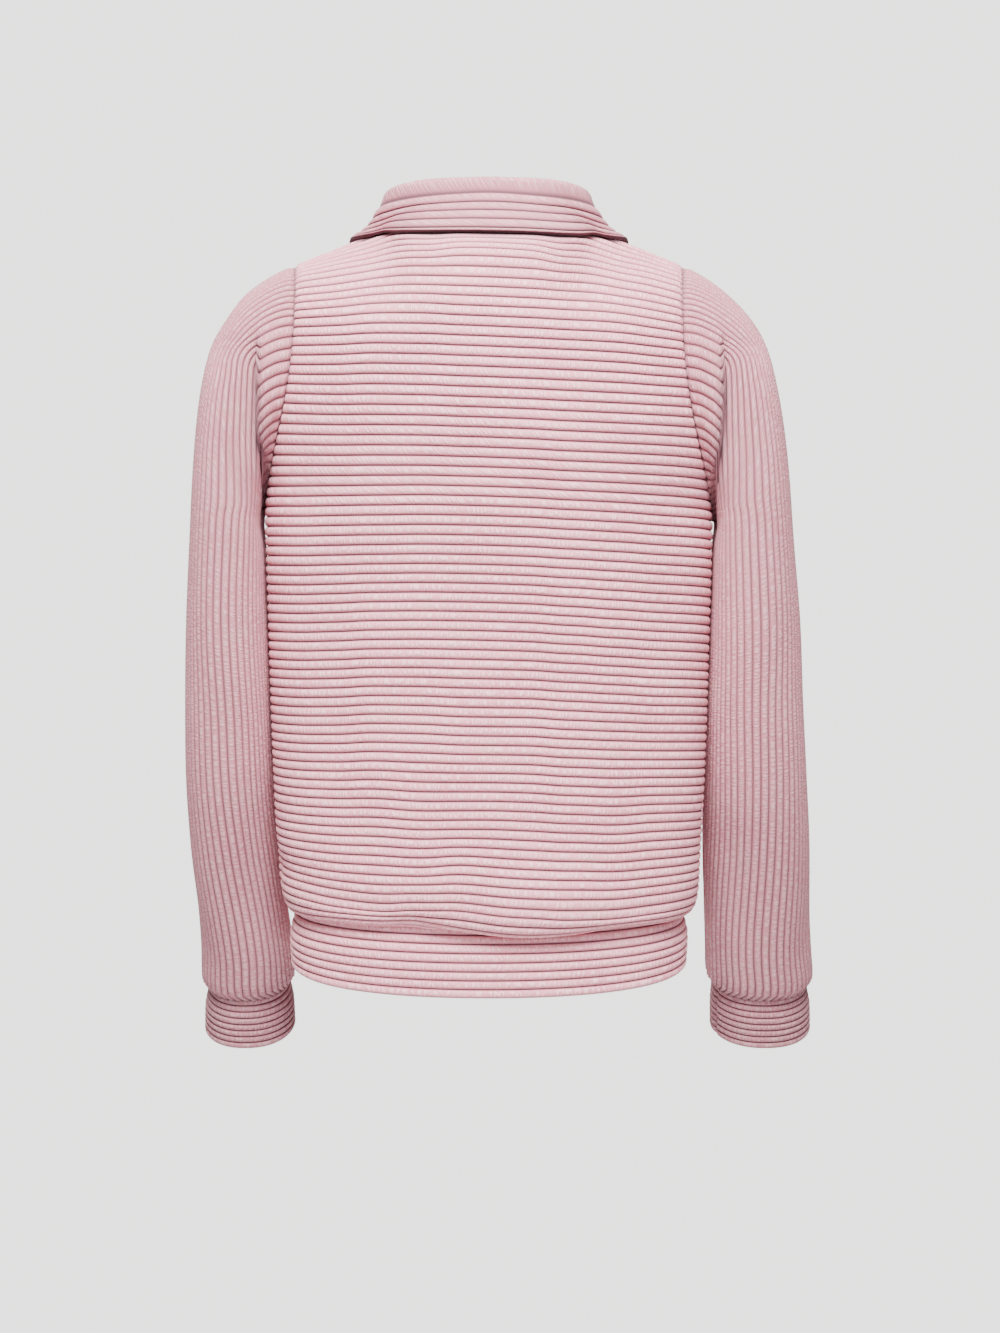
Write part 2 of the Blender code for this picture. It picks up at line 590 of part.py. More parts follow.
def cuff_point(side, around, rib):
    get = lambda name: column(CUFF, CUFF_COLUMNS, name, rib)
    hand = "left" if side > 0 else "right"
    angle = around * 2 * math.pi
    c = np.cos(angle)
    s = np.sin(angle)
    out_x = get("out_" + hand) - SEAM_ROUND
    in_x = get("in_" + hand) + SEAM_ROUND
    x = (out_x + in_x) / 2 + (out_x - in_x) / 2 * np.sign(c) * np.abs(c) ** 0.9
    depth = get("depth") - SEAM_ROUND
    y = get("middle_y") + depth * np.sign(s) * np.abs(s) ** 0.95
    return stacked(x * side, y, get("z") - CUFF_TIP * depth * s)


def cuff_surface(side):
    def surface(around, rib):
        away = facing(lambda a, b: cuff_point(side, a, b), around, rib, low_a=-9, high_a=9,
                      high_b=CUFF_RIBS, sign=-side)
        return cuff_point(side, around, rib), away
    return surface


def make_cuff(side, name):
    around = np.arange(16) / 16
    rows = np.arange(2 * CUFF_RIBS + 1) / 2
    return wall(name, cuff_surface(side), (around, rows), (around, np.array([0.0, 4.5, 9.0])),
                CLOTH, ribs_along(0.0009), closed=True)


# ---- the collar ------------------------------------------------------------------------


def neckline(station):
    """The neck seam from the middle of the back (0) by the shoulder (1) to the front (2)."""
    station = np.asarray(station, float)
    side = np.where(station < 0, -1.0, 1.0)
    far = np.abs(station)
    corners = HALF_ACROSS[:3]
    line = panel(BACK, corners, np.zeros(3))
    places = np.clip(far, 0, 1) * neck_across()
    behind = stacked(*(np.interp(places, corners, line[:, i]) for i in range(3)))
    behind = behind * stacked(side, 1.0, 1.0)
    rib = NECK_FRONT_RIB * np.sin(np.clip(far - 1, 0, 1) * math.pi / 2)
    before = panel(FRONT, side * front_start(rib), rib)
    return np.where((far <= 1)[..., None], behind, before)


def collar_edge(station):
    """The collar's free edge, lying over the panels."""
    far = np.abs(station)
    side = np.where(station < 0, -1.0, 1.0)
    across = column(COLLAR, COLLAR_COLUMNS, "edge_across", far) * side
    rib = column(COLLAR, COLLAR_COLUMNS, "edge_rib", far)
    behind = panel(BACK, across, rib)
    before = panel(FRONT, across, rib)
    back_away = facing(lambda a, b: panel(BACK, a, b), across, rib)
    front_away = facing(lambda a, b: panel(FRONT, a, b), across, rib, sign=-1)
    points = np.where((far <= 1)[..., None], behind, before)
    away = np.where((far <= 1)[..., None], back_away, front_away)
    return points + away * COLLAR_LIFT


def bezier(a, b, c, d, t):
    t = t[..., None]
    return a * (1 - t) ** 3 + 3 * b * t * (1 - t) ** 2 + 3 * c * t * t * (1 - t) + d * t ** 3


def collar_point(station, height):
    """height 0 is the neck seam, 1 to 2 the fold, and 3 the free edge."""
    station, height = np.broadcast_arrays(np.asarray(station, float), np.asarray(height, float))
    far = np.abs(station)
    side = np.where(station < 0, -1.0, 1.0)
    seam = neckline(station)
    lean = neck_direction(seam)
    out = unit(seam * np.array([1.0, 1.0, 0.0]))
    up = np.array([0.0, 0.0, 1.0])
    seam = seam + (up * 0.86 - out * 0.5) * SEAM_ROUND - lean * COLLAR_WALL * 0.5
    get = lambda name: column(COLLAR, COLLAR_COLUMNS, name, far)
    fold = stacked(get("fold_x") * side, get("fold_y"), get("fold_z") - COLLAR_FOLD_RADIUS)
    edge = collar_edge(station)
    inside = fold - out * COLLAR_FOLD_RADIUS
    outside = fold + out * COLLAR_FOLD_RADIUS
    rise = np.linalg.norm(inside - seam, axis=-1, keepdims=True)
    drop = np.linalg.norm(edge - outside, axis=-1, keepdims=True)
    stand = bezier(seam, seam + up * rise * 0.35, inside - up * rise * 0.35, inside,
                   np.clip(height, 0, 1))
    turn = np.clip(height - 1, 0, 1)[..., None] * math.pi
    over = fold - out * np.cos(turn) * COLLAR_FOLD_RADIUS + up * np.sin(turn) * COLLAR_FOLD_RADIUS
    away = unit(edge - outside)
    fall = bezier(outside, outside - up * drop * 0.45, edge - away * drop * 0.30 + up * drop * 0.04,
                  edge, np.clip(height - 2, 0, 1))
    points = np.where((height <= 1)[..., None], stand, over)
    return np.where((height > 2)[..., None], fall, points)


def collar_surface(station, height):
    away = facing(collar_point, station, height, low_a=-2, high_a=2, high_b=3, sign=1)
    at_seam = (height < 0.01)[..., None]
    away = np.where(at_seam, -neck_direction(collar_point(station, height)), away)
    return collar_point(station, height) + away * COLLAR_WALL / 2, away


def make_collar():
    stations = np.sin(np.linspace(-1, 1, 19) * 1.2) / math.sin(1.2) * 2
    stand = np.linspace(0, 1, 2 * COLLAR_STAND_RIBS + 1)[:-1]
    fall = np.linspace(2, 3, 2 * COLLAR_FALL_RIBS + 1)
    heights = np.concatenate([stand, [1.0, 1.33, 1.66], fall])
    inner = np.array([0, 0.35, 0.7, 1.0, 1.5, 2.0, 2.2, 2.4, 2.6, 2.8, 3.0])
    return wall("collar", collar_surface, (stations, heights), (stations, inner),
                COLLAR_WALL, ribs_along(0.0009))


# ---- the zip ---------------------------------------------------------------------------


def zip_frame(rib):
    """A point on the front's centre line with its outward and downward directions."""
    point = panel(FRONT, 0.0, float(rib))
    out = facing(lambda a, b: panel(FRONT, a, b), 0.0, float(rib), sign=-1)
    down = unit(panel(FRONT, 0.0, rib + 0.5) - panel(FRONT, 0.0, rib - 0.5))
    return point, out, down


def tape_surface(side):
    def surface(x, rib):
        turn = np.radians(column(FRONT, PANEL_COLUMNS, "turn", rib))
        edge = column(FRONT, PANEL_COLUMNS, "edge_x", rib)
        across = np.arcsin(x * np.sin(turn) / edge) / turn
        away = facing(lambda a, b: panel(FRONT, a, b), 0.0 * across, rib, sign=-1)
        points = panel(FRONT, 0.0 * across, rib)
        sag = panel(FRONT, across, rib) - points
        points = points + sag * np.array([0.0, 1.0, 1.0])
        points[..., 0] = x * side
        return points - away * TAPE_DEPTH, away
    return surface


def make_tape(side, name):
    """Half the zip: its tape, and its half of the chain as a bead along the middle."""
    rows = np.concatenate([[NECK_FRONT_RIB + 0.25, SLIDER_RIB - 0.1, SLIDER_RIB],
                           np.arange(SLIDER_RIB + 1.3, ZIP_END_RIB - 1.0, 2.3),
                           [ZIP_END_RIB - 0.4, ZIP_END_RIB - 0.2, ZIP_END_RIB + 1.5]])

    def surface(place, rib):
        parted = (rib < SLIDER_RIB - 0.05) & (place < 0.5)
        x = np.where(place < 0.5, 0.00015, CHAIN_HALF)
        x = np.where((place > 1.5) & (place < 2.5), CHAIN_HALF + 0.0003, x)
        x = np.where(place > 2.5, TAPE_HALF, x)
        x = np.where(parted, CHAIN_HALF - 0.0002, x)
        return tape_surface(side)(x, rib)

    def rise(count, columns):
        bead = np.zeros((count, columns))
        bead[2:-2, :2] = CHAIN_RISE
        return bead

    return wall(name, surface, (np.arange(4.0), rows), (np.array([0.0, 3.0]), rows),
                TAPE_WALL, rise)


def box(name, low, high):
    """A box between two corners in the zip's own frame: x across, y down, z outward."""
    mesh = bpy.data.meshes.new(name)
    work = bmesh.new()
    bmesh.ops.create_cube(work, size=1.0)
    middle = [(a + b) / 2 for a, b in zip(low, high)]
    size = [b - a for a, b in zip(low, high)]
    bmesh.ops.scale(work, vec=size, verts=work.verts)
    bmesh.ops.translate(work, vec=middle, verts=work.verts)
    work.to_mesh(mesh)
    work.free()
    piece = bpy.data.objects.new(name, mesh)
    cutters.objects.link(piece)
    piece.hide_render = True
    piece.display_type = "WIRE"
    return piece


def combine(piece, other, operation):
    modifier = piece.modifiers.new(operation.lower(), "BOOLEAN")
    modifier.operation = operation
    modifier.object = other


def place_in_zip_frame(pieces, height):
    point, out, down = zip_frame(SLIDER_RIB)
    side = np.cross(down, out)
    turn = Matrix([[side[i], down[i], out[i], point[i] + out[i] * height] for i in range(3)]
                  + [[0, 0, 0, 1]])
    for piece in pieces:
        piece.matrix_world = turn


def make_slider():
    """Two plates on a post, with flanges over the chain and a bridge for the pull."""
    half = SLIDER_WIDTH / 2
    top = SLIDER_LENGTH * 0.5
    under = -TAPE_DEPTH - TAPE_WALL - 0.0004
    flange = -TAPE_DEPTH + 0.0004
    chain_top = -TAPE_DEPTH + CHAIN_RISE + 0.0004
    plate_top = chain_top + 0.0013
    body = box("zip_slider", (-half, -top, chain_top), (half, top, plate_top))
    body.hide_render = False
    body.display_type = "TEXTURED"
    cutters.objects.unlink(body)
    collection.objects.link(body)
    parts = [box("slider_flange_%d" % i, (x, -top, flange), (x + 0.0014, top, chain_top + 0.0004))
             for i, x in enumerate((-half, half - 0.0014))]
    parts.append(box("slider_under", (-half + 0.0006, -top, under - 0.0011), (half - 0.0006, top, under)))
    parts.append(box("slider_post", (-0.0014, -top + 0.0005, under - 0.0004),
                     (0.0014, -0.0013, chain_top + 0.0004)))
    ends = 0.0036
    arch = HINGE_HEIGHT + 0.0010
    parts.append(box("slider_leg_up", (-0.0009, -ends, plate_top - 0.0004), (0.0009, -0.0022, arch + 0.0005)))
    parts.append(box("slider_leg_down", (-0.0009, 0.0022, plate_top - 0.0004), (0.0009, ends, arch + 0.0005)))
    parts.append(box("slider_bridge", (-0.0010, -ends - 0.0001, arch), (0.0010, ends + 0.0001, arch + 0.0010)))
    for part in parts:
        combine(body, part, "UNION")
    place_in_zip_frame([body] + parts, 0.0)
    return body


def make_pull():
    """A plate hanging from a bar under the slider's bridge, with a window for the bridge."""
    half = PULL_WIDTH / 2
    low = -PULL_WALL / 2
    high = PULL_WALL / 2
    plate = box("pull_tab", (-half, low, low), (half, PULL_LENGTH, high))
    plate.hide_render = False
    plate.display_type = "TEXTURED"
    cutters.objects.unlink(plate)
    collection.objects.link(plate)
    window = box("pull_window", (-0.0016, 0.0008, low * 2), (0.0016, 0.0050, high * 2))
    hole = box("pull_hole", (-0.0020, PULL_LENGTH - 0.0070, low * 2), (0.0020, PULL_LENGTH - 0.0030, high * 2))
    combine(plate, window, "DIFFERENCE")
    combine(plate, hole, "DIFFERENCE")
    place_in_zip_frame([plate, window, hole], HINGE_HEIGHT)
    return plate


# ---- materials and the whole -----------------------------------------------------------


def paint(piece, name, color, roughness, metallic):
    material = bpy.data.materials.get(name)
    if material is None:
        material = bpy.data.materials.new(name)
        material.use_nodes = True
        shader = material.node_tree.nodes["Principled BSDF"]
        shader.inputs["Base Color"].default_value = (*color, 1.0)
        shader.inputs["Roughness"].default_value = roughness
        shader.inputs["Metallic"].default_value = metallic
    piece.data.materials.append(material)


for old in list(bpy.data.objects):
    bpy.data.objects.remove(old)
collection = bpy.data.collections.new(NAME)
cutters = bpy.data.collections.new(NAME + "_cutters")
bpy.context.scene.collection.children.link(collection)
bpy.context.scene.collection.children.link(cutters)

for piece in (make_back(), make_front(), make_sleeve(1, "sleeve_left"), make_sleeve(-1, "sleeve_right"),
              make_hem_band(), make_cuff(1, "cuff_left"), make_cuff(-1, "cuff_right"), make_collar()):
    paint(piece, "pink_knit", (0.72, 0.50, 0.55), 0.9, 0.0)
for piece in (make_tape(1, "zip_tape_left"), make_tape(-1, "zip_tape_right")):
    paint(piece, "pink_tape", (0.66, 0.44, 0.49), 0.8, 0.0)
for piece in (make_slider(), make_pull()):
    paint(piece, "zip_metal", (0.62, 0.61, 0.60), 0.35, 1.0)
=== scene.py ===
import math

import bmesh
import bpy
import numpy as np
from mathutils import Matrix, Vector


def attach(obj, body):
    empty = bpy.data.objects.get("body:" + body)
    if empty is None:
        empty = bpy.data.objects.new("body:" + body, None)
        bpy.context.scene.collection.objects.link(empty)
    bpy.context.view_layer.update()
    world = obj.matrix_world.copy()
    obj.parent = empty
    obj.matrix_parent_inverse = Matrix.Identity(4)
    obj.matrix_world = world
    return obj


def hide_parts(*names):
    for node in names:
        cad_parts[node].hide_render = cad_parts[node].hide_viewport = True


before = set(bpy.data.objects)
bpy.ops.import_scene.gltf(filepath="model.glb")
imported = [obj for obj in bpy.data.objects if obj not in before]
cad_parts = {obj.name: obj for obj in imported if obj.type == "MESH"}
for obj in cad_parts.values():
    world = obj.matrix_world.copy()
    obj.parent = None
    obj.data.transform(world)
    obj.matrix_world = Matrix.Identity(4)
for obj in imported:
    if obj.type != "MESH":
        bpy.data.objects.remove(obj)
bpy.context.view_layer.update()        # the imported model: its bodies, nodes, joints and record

cloth = {
    "wall": 0.0017,          # between the inside and the bottom of a groove
    "ribHeight": 0.0024,     # crest of a rib over the groove
    "seamGap": 0.0003,
    "seamPull": 0.0010,      # how far a seam draws the cloth in
    "seamWidth": 0.0030,     # and over what width
    "seamShade": 0.75,       # painted shade on a seam
    "shadeWidth": 0.0014,
    "ribRound": 2.1,         # powers of a rib's section
    "ribTop": 0.56,
}


# Curves and arrays.

# One column of a table read as a smooth curve through its rows that never overshoots them:
# cubic pieces whose slope at a row is the harmonic mean of the slopes beside it.
def readColumn(table, name, at):
    names = table["columns"]
    xs = np.array([row[0] for row in table["rows"]], dtype=float)
    ys = np.array([row[names.index(name)] for row in table["rows"]], dtype=float)
    steps = np.diff(xs)
    slopes = np.diff(ys) / steps
    tangents = np.concatenate([slopes[:1], np.zeros(len(xs) - 2), slopes[-1:]])
    agree = slopes[:-1] * slopes[1:] > 0
    total = np.where(agree, slopes[:-1] + slopes[1:], 1.0)
    tangents[1:-1] = np.where(agree, 2 * slopes[:-1] * slopes[1:] / total, 0.0)
    at = np.clip(np.asarray(at, dtype=float), xs[0], xs[-1])
    i = np.clip(np.searchsorted(xs, at, side="right") - 1, 0, len(xs) - 2)
    t = (at - xs[i]) / steps[i]
    early = (1 + 2 * t) * (1 - t) ** 2 * ys[i] + t * (1 - t) ** 2 * steps[i] * tangents[i]
    late = t * t * (3 - 2 * t) * ys[i + 1] + t * t * (t - 1) * steps[i] * tangents[i + 1]
    return early + late


# Vectors brought to length 1.
def unitOf(vectors):
    return vectors / np.linalg.norm(vectors, axis=-1, keepdims=True)


# Points from three coordinates spread to one shape.
def pointsOf(x, y, z):
    return np.stack(np.broadcast_arrays(x, y, z), axis=-1).astype(float)


# 1 at 0 falling smoothly to 0 at 1: 1 - 3qq + 2qqq.
def easeOff(q):
    q = np.clip(q, 0, 1)
    return 1 - 3 * q ** 2 + 2 * q ** 3


# 1 on a line, falling away on both sides of it: exp(-(off / width)^2).
def bell(off, width):
    return np.exp(-(off / width) ** 2)


# The direction square to a grid of points: the cross product of its two slopes. A closed grid
# wraps round its columns.
def gridNormals(points, closed=False, sign=1):
    if closed:
        padded = np.concatenate([points[:, -2:], points, points[:, :2]], axis=1)
        return gridNormals(padded, False, sign)[:, 2:-2]
    down = np.gradient(points, axis=0)
    along = np.gradient(points, axis=1)
    return unitOf(np.cross(along, down)) * sign


# The same on a tube, pointing away from the middle of its rings.
def tubeNormals(points):
    away = gridNormals(points, closed=True)
    return away * np.sign(np.sum(away * (points - points.mean(axis=1, keepdims=True))))


# Length run along each row of a grid, from its first column.
def rowLengths(points):
    steps = np.linalg.norm(np.diff(points, axis=1), axis=-1)
    return np.concatenate([np.zeros((len(points), 1)), np.cumsum(steps, axis=1)], axis=1)


# Places inside one rib, closer together beside the grooves: (1 - cos(pi t)) / 2.
def insideRib(steps):
    return (1 - np.cos(np.pi * np.arange(steps) / steps)) / 2


# The same inside each of a row of ribs.
def ribPlaces(count, steps, start=0):
    places = (np.arange(count)[:, None] + insideRib(steps)[None, :]).reshape(-1)
    return start + np.append(places, float(count))


# A rib's round section between two sharp grooves, 0 to 1: (1 - |2t - 1|^2.1)^0.56.
def ribSection(phase):
    off = np.abs(2 * (phase - np.floor(phase)) - 1)
    return (1 - np.clip(off, 0, 1) ** cloth["ribRound"]) ** cloth["ribTop"]


# Meshes.

# Triangles between two lines of points that run side by side, each with its places.
def rimFaces(first, firstAt, second, secondAt):
    i = np.arange(len(first) - 1)
    j = np.arange(len(second) - 1)
    across = np.searchsorted(secondAt[1:], firstAt[1:], side="left")
    back = np.searchsorted(firstAt[1:], secondAt[1:], side="right")
    return np.concatenate([
        np.stack([first[i], first[i + 1], second[across]], -1),
        np.stack([first[back], second[j + 1], second[j]], -1),
    ])


# Quads of a grid of point numbers. Where two neighbours are the same point the quad becomes a
# triangle, or nothing.
def gridFaces(ids):
    a, b, c, d = ids[:-1, :-1], ids[:-1, 1:], ids[1:, 1:], ids[1:, :-1]
    quads = np.stack([a, b, c, d], -1).reshape(-1, 4)
    topGone = quads[:, 0] == quads[:, 1]
    lowGone = quads[:, 2] == quads[:, 3]
    whole = quads[~topGone & ~lowGone]
    return [whole, quads[topGone & ~lowGone][:, [0, 2, 3]], quads[lowGone & ~topGone][:, [0, 1, 2]]]


# A mesh object from points, arrays of faces and each point's cloth coordinates: metres along
# its rib, and ribs counted across. wrap is the length at which a closed piece meets itself,
# and shade is each point's painted shade, 0 to 1, on seams, in creases and under edges.
def clothMesh(name, points, faceSets, places, material, wrap=None, shade=None):
    mesh = bpy.data.meshes.new(name)
    corners = np.concatenate([faces.reshape(-1) for faces in faceSets])
    sizes = np.concatenate([np.full(len(faces), faces.shape[1]) for faces in faceSets])
    starts = np.concatenate([[0], np.cumsum(sizes)[:-1]])
    mesh.vertices.add(len(points))
    mesh.vertices.foreach_set("co", points.astype(np.float32).reshape(-1))
    mesh.loops.add(len(corners))
    mesh.loops.foreach_set("vertex_index", corners.astype(np.int32))
    mesh.polygons.add(len(sizes))
    mesh.polygons.foreach_set("loop_start", starts.astype(np.int32))
    layer = mesh.uv_layers.new(name="cloth")
    spots = places[corners].copy()
    if wrap:
        reach = np.maximum.reduceat(spots[:, 0], starts)
        late = np.repeat(reach > wrap * 0.9, sizes)
        spots[:, 0] += np.where(late & (spots[:, 0] < wrap * 0.1), wrap, 0.0)
    layer.data.foreach_set("uv", spots.astype(np.float32).reshape(-1))
    dark = mesh.attributes.new("shade", "FLOAT", "POINT")
    if shade is None:
        shade = np.zeros(len(points))
    dark.data.foreach_set("value", shade.astype(np.float32))
    mesh.update(calc_edges=True)
    work = bmesh.new()
    work.from_mesh(mesh)
    bmesh.ops.recalc_face_normals(work, faces=work.faces)
    if work.calc_volume(signed=True) < 0:
        bmesh.ops.reverse_faces(work, faces=work.faces)
    work.to_mesh(mesh)
    work.free()
    mesh.shade_smooth()
    mesh.materials.append(material)
    piece = bpy.data.objects.new(name, mesh)
    bpy.context.scene.collection.objects.link(piece)
    return piece


# A closed shell between an outer and an inner grid, each with its places across and down, and
# an optional slot: one gap between two columns, open down to a given row.
def shell(name, outer, inner, places, material, closed=False, slots=(None, None), shade=None):
    points = []
    faces = []
    rims = []
    start = 0
    for (grid, across, down), slot in zip((outer, inner), slots):
        rows, columns = grid.shape[:2]
        ids = start + np.arange(rows * columns).reshape(rows, columns)
        start += rows * columns
        points.append(grid.reshape(-1, 3))
        if closed:
            ring = np.append(np.arange(columns), 0)
            wide = ids[:, ring]
            length = np.append(across, across[0] + closed)
            faces += gridFaces(wide)
            rims.append([(wide[0], length), (wide[-1], length)])
            continue
        edges = [(ids[-1], across), (ids[:, 0], down), (ids[:, -1], down)]
        if slot is None:
            faces += gridFaces(ids)
            edges.append((ids[0], across))
        else:
            j, last = slot
            faces += gridFaces(ids[:, :j + 1])
            faces += gridFaces(ids[:, j + 1:])
            faces += gridFaces(ids[last:, j:j + 2])
            edges += [(ids[0, :j + 1], across[:j + 1]), (ids[0, j + 1:], across[j + 1:])]
            edges += [(ids[:last + 1, k], down[:last + 1]) for k in (j, j + 1)]
            edges.append((ids[last, j:j + 2], across[j:j + 2]))
        rims.append(edges)
    for (outerIds, outerAt), (innerIds, innerAt) in zip(*rims):
        faces.append(rimFaces(outerIds, outerAt, innerIds, innerAt))
    wrap = places[2] if closed else None
    flat = np.concatenate([place.reshape(-1, 2) for place in places[:2]])
    if shade is not None:
        shade = np.concatenate([shade.reshape(-1), np.zeros(len(flat) - shade.size)])
    return clothMesh(name, np.concatenate(points), [f for f in faces if len(f)], flat, material,
                     wrap, shade)


# A closed band, such as the hem or a cuff: ribs stand out from the points by their height, and
# the inside is every second point of each groove, one wall further in. turns are its places
# round and once is a full turn.
def bandShell(name, points, away, height, turns, rows, perRib, material, once):
    outer = points + away * height[..., None]
    around = rowLengths(np.concatenate([points, points[:, :1]], axis=1))
    _, rib = np.meshgrid(turns, rows)
    spots = np.stack([around[:, :-1], rib], -1)
    keep = np.ix_(np.arange(0, len(rows), perRib), np.arange(0, len(turns), 2))
    lining = points[keep] - away[keep] * cloth["wall"]
    return shell(name, (outer, turns, rows), (lining, turns[::2], rows[::perRib]),
                 (spots, spots[keep], float(around[:, -1].mean())), material, closed=once)


# A finished piece: parented to the body it rides on, with the node it takes the place of hidden.
def settle(piece, node, body="garment"):
    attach(piece, body)
    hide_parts(node)


# Materials.

# One socket of a material. Arithmetic on it adds Math nodes.
class Signal:
    def __init__(self, tree, socket):
        self.tree = tree
        self.socket = socket

    # Adds a node: its settings first, then the values or links of its sockets.
    def node(self, kind, settings, values, output=0):
        made = self.tree.nodes.new(kind)
        for key, value in settings.items():
            setattr(made, key, value)
        for key, value in values.items():
            if isinstance(value, Signal):
                self.tree.links.new(value.socket, made.inputs[key])
            elif value is not None:
                made.inputs[key].default_value = value
        return Signal(self.tree, made.outputs[output])

    def math(self, operation, *values):
        return self.node("ShaderNodeMath", {"operation": operation}, dict(enumerate(values)))

    def __add__(self, other):
        return self.math("ADD", self, other)

    def __sub__(self, other):
        return self.math("SUBTRACT", self, other)

    def __rsub__(self, other):
        return self.math("SUBTRACT", other, self)

    def __mul__(self, other):
        return self.math("MULTIPLY", self, other)

    def __pow__(self, other):
        return self.math("POWER", self, other)

    def __abs__(self):
        return self.math("ABSOLUTE", self)

    def part(self):
        return self.math("FRACT", self)

    # 0 below low, 1 above high, smooth between.
    def rise(self, low, high):
        return self.node("ShaderNodeMapRange", {"interpolation_type": "SMOOTHSTEP"},
                         {"Value": self, "From Min": low, "From Max": high})

    # self is the share of second in the mix.
    def blend(self, first, second):
        first, second = [(*color, 1.0) if isinstance(color, tuple) else color
                         for color in (first, second)]
        return self.node("ShaderNodeMix", {"data_type": "RGBA"}, {0: self, 6: first, 7: second}, 2)


# A material, its shader with constant values, and the signal that its nodes start from.
def newMaterial(name, constants):
    material = bpy.data.materials.new(name)
    material.use_nodes = True
    shader = material.node_tree.nodes["Principled BSDF"]
    for key, value in constants.items():
        shader.inputs[key].default_value = value
    return material, shader, Signal(material.node_tree, None)


# A material of one plain colour.
def plainMaterial(name, color, constants):
    material, shader, _ = newMaterial(name, constants)
    shader.inputs["Base Color"].default_value = (*color, 1.0)
    return material


# Links a colour and a bump to a material's shader.
def linkLook(material, shader, color, bump):
    links = material.node_tree.links
    links.new(color.socket, shader.inputs["Base Color"])
    links.new(bump.socket, shader.inputs["Normal"])


knitLook = {
    "ridge": (0.760, 0.298, 0.355),        # lit face of a rib
    "mauve": (0.620, 0.215, 0.270),        # darker tone, in random patches and fuzz, and painted shade on a rib's lower side
    # painted shade in the grooves
    "grooveShade": (0.150, 0.062, 0.080),
    "pale": (0.920, 0.500, 0.555),
    "seam": (0.060, 0.034, 0.040),         # painted shade, mixed in by the shade attribute
    "grooveStart": 0.58,                   # share of half a rib where the painted groove shade sets in
    "grooveCurve": 1.2,
    "crest": (0.35, 0.95),                 # from a rib's crest, where its stitches fade out
    "under": 0.7,                          # share of mauve painted as shade on a rib's lower side, as if lit from above
    "underRise": (0.5, 0.98),
    "wales": 560.0,                        # stitch columns a metre
    "waleDepth": 0.00045,
    "waleWobble": 0.0011,                  # how far a column strays sideways
    "wobble": 90.0,
    "stitches": (0.44, 0.58),
    "paleShare": 0.75,
    "fuzz": 2600.0,
    "fuzzDepth": 0.00010,
    "fuzzShare": 0.25,
    "fuzzRise": (0.55, 0.8),
    "blotch": 24.0,                        # mauve patches
    "blotchShare": 0.55,
    "blotchRise": (0.35, 0.72),
    "peach": (0.700, 0.380, 0.350),        # in faint patches
    "patches": 46.0,
    "peachShare": 0.5,
    "peachRise": (0.54, 0.72),
    "roughness": 0.92,
    "sheen": 0.08,
    "sheenTint": (1.0, 0.86, 0.90, 1.0),
    "sheenRoughness": 0.45,
    "specular": 0.25,
    "bump": 0.9,
}


# Ribbed knit: painted shade in the grooves comes from how far a point is from its rib's crest,
# and fine uneven lines across each rib are its stitch columns.
def knitMaterial(name, shadeTint=1.0, grooveShare=0.95):
    look = knitLook
    material, shader, start = newMaterial(name, {
        "Roughness": look["roughness"],
        "Sheen Weight": look["sheen"],
        "Sheen Roughness": look["sheenRoughness"],
        "Sheen Tint": look["sheenTint"],
        "Specular IOR Level": look["specular"],
    })
    place = start.node("ShaderNodeUVMap", {"uv_map": "cloth"}, {})
    along = start.node("ShaderNodeSeparateXYZ", {}, {0: place}, 0)
    across = start.node("ShaderNodeSeparateXYZ", {}, {0: place}, 1)
    off = abs(across.part() * 2.0 - 1.0)
    # painted shade in the grooves
    grooveShade = off.rise(look["grooveStart"], 1.0)
    crest = 1.0 - off.rise(*look["crest"])
    spot = start.node("ShaderNodeTexCoord", {}, {}, 3)
    wobble = start.node("ShaderNodeTexNoise", {}, {
        "Vector": spot, "Scale": look["wobble"], "Detail": 1.0})
    stitch = start.node("ShaderNodeCombineXYZ", {}, {
        0: (along + wobble * look["waleWobble"]) * look["wales"], 1: across * 0.9, 2: 0.0})
    columns = start.node("ShaderNodeTexNoise", {}, {
        "Vector": stitch, "Scale": 1.0, "Detail": 1.5, "Roughness": 0.55})
    lines = columns.rise(*look["stitches"])
    fuzz = start.node("ShaderNodeTexNoise", {}, {
        "Vector": spot, "Scale": look["fuzz"], "Detail": 2.0})
    blotch = start.node("ShaderNodeTexNoise", {}, {
        "Vector": spot, "Scale": look["blotch"], "Detail": 2.0, "Roughness": 0.6})
    # shadeTint darkens every colour: painted shade for a whole part
    ridge, mauve, pale, peach, grooveShadeColor = [
        tuple(c * shadeTint for c in look[key]) for key in ("ridge", "mauve", "pale", "peach", "grooveShade")]
    base = (blotch.rise(*look["blotchRise"]) * look["blotchShare"]).blend(ridge, mauve)
    patch = start.node("ShaderNodeTexNoise", {}, {
        "Vector": spot, "Scale": look["patches"], "Detail": 3.0, "Roughness": 0.65})
    base = (patch.rise(*look["peachRise"]) * look["peachShare"]).blend(base, peach)
    base = (lines * crest * look["paleShare"]).blend(base, pale)
    base = (fuzz.rise(*look["fuzzRise"]) * look["fuzzShare"]).blend(base, mauve)
    # painted shade on each rib's lower side, as if lit from above
    under = across.part().rise(*look["underRise"]) * look["under"]
    base = under.blend(base, mauve)
    color = (grooveShade ** look["grooveCurve"] * grooveShare).blend(base, grooveShadeColor)
    dark = start.node("ShaderNodeAttribute", {"attribute_name": "shade"}, {}, 2)
    # painted shade from the shade attribute: seams, creases, the collar's edge, the lower sleeves
    color = dark.blend(color, look["seam"])
    height = lines * crest * look["waleDepth"] + fuzz * look["fuzzDepth"]
    bump = start.node("ShaderNodeBump", {}, {
        "Strength": look["bump"], "Distance": 1.0, "Height": height})
    linkLook(material, shader, color, bump)
    return material


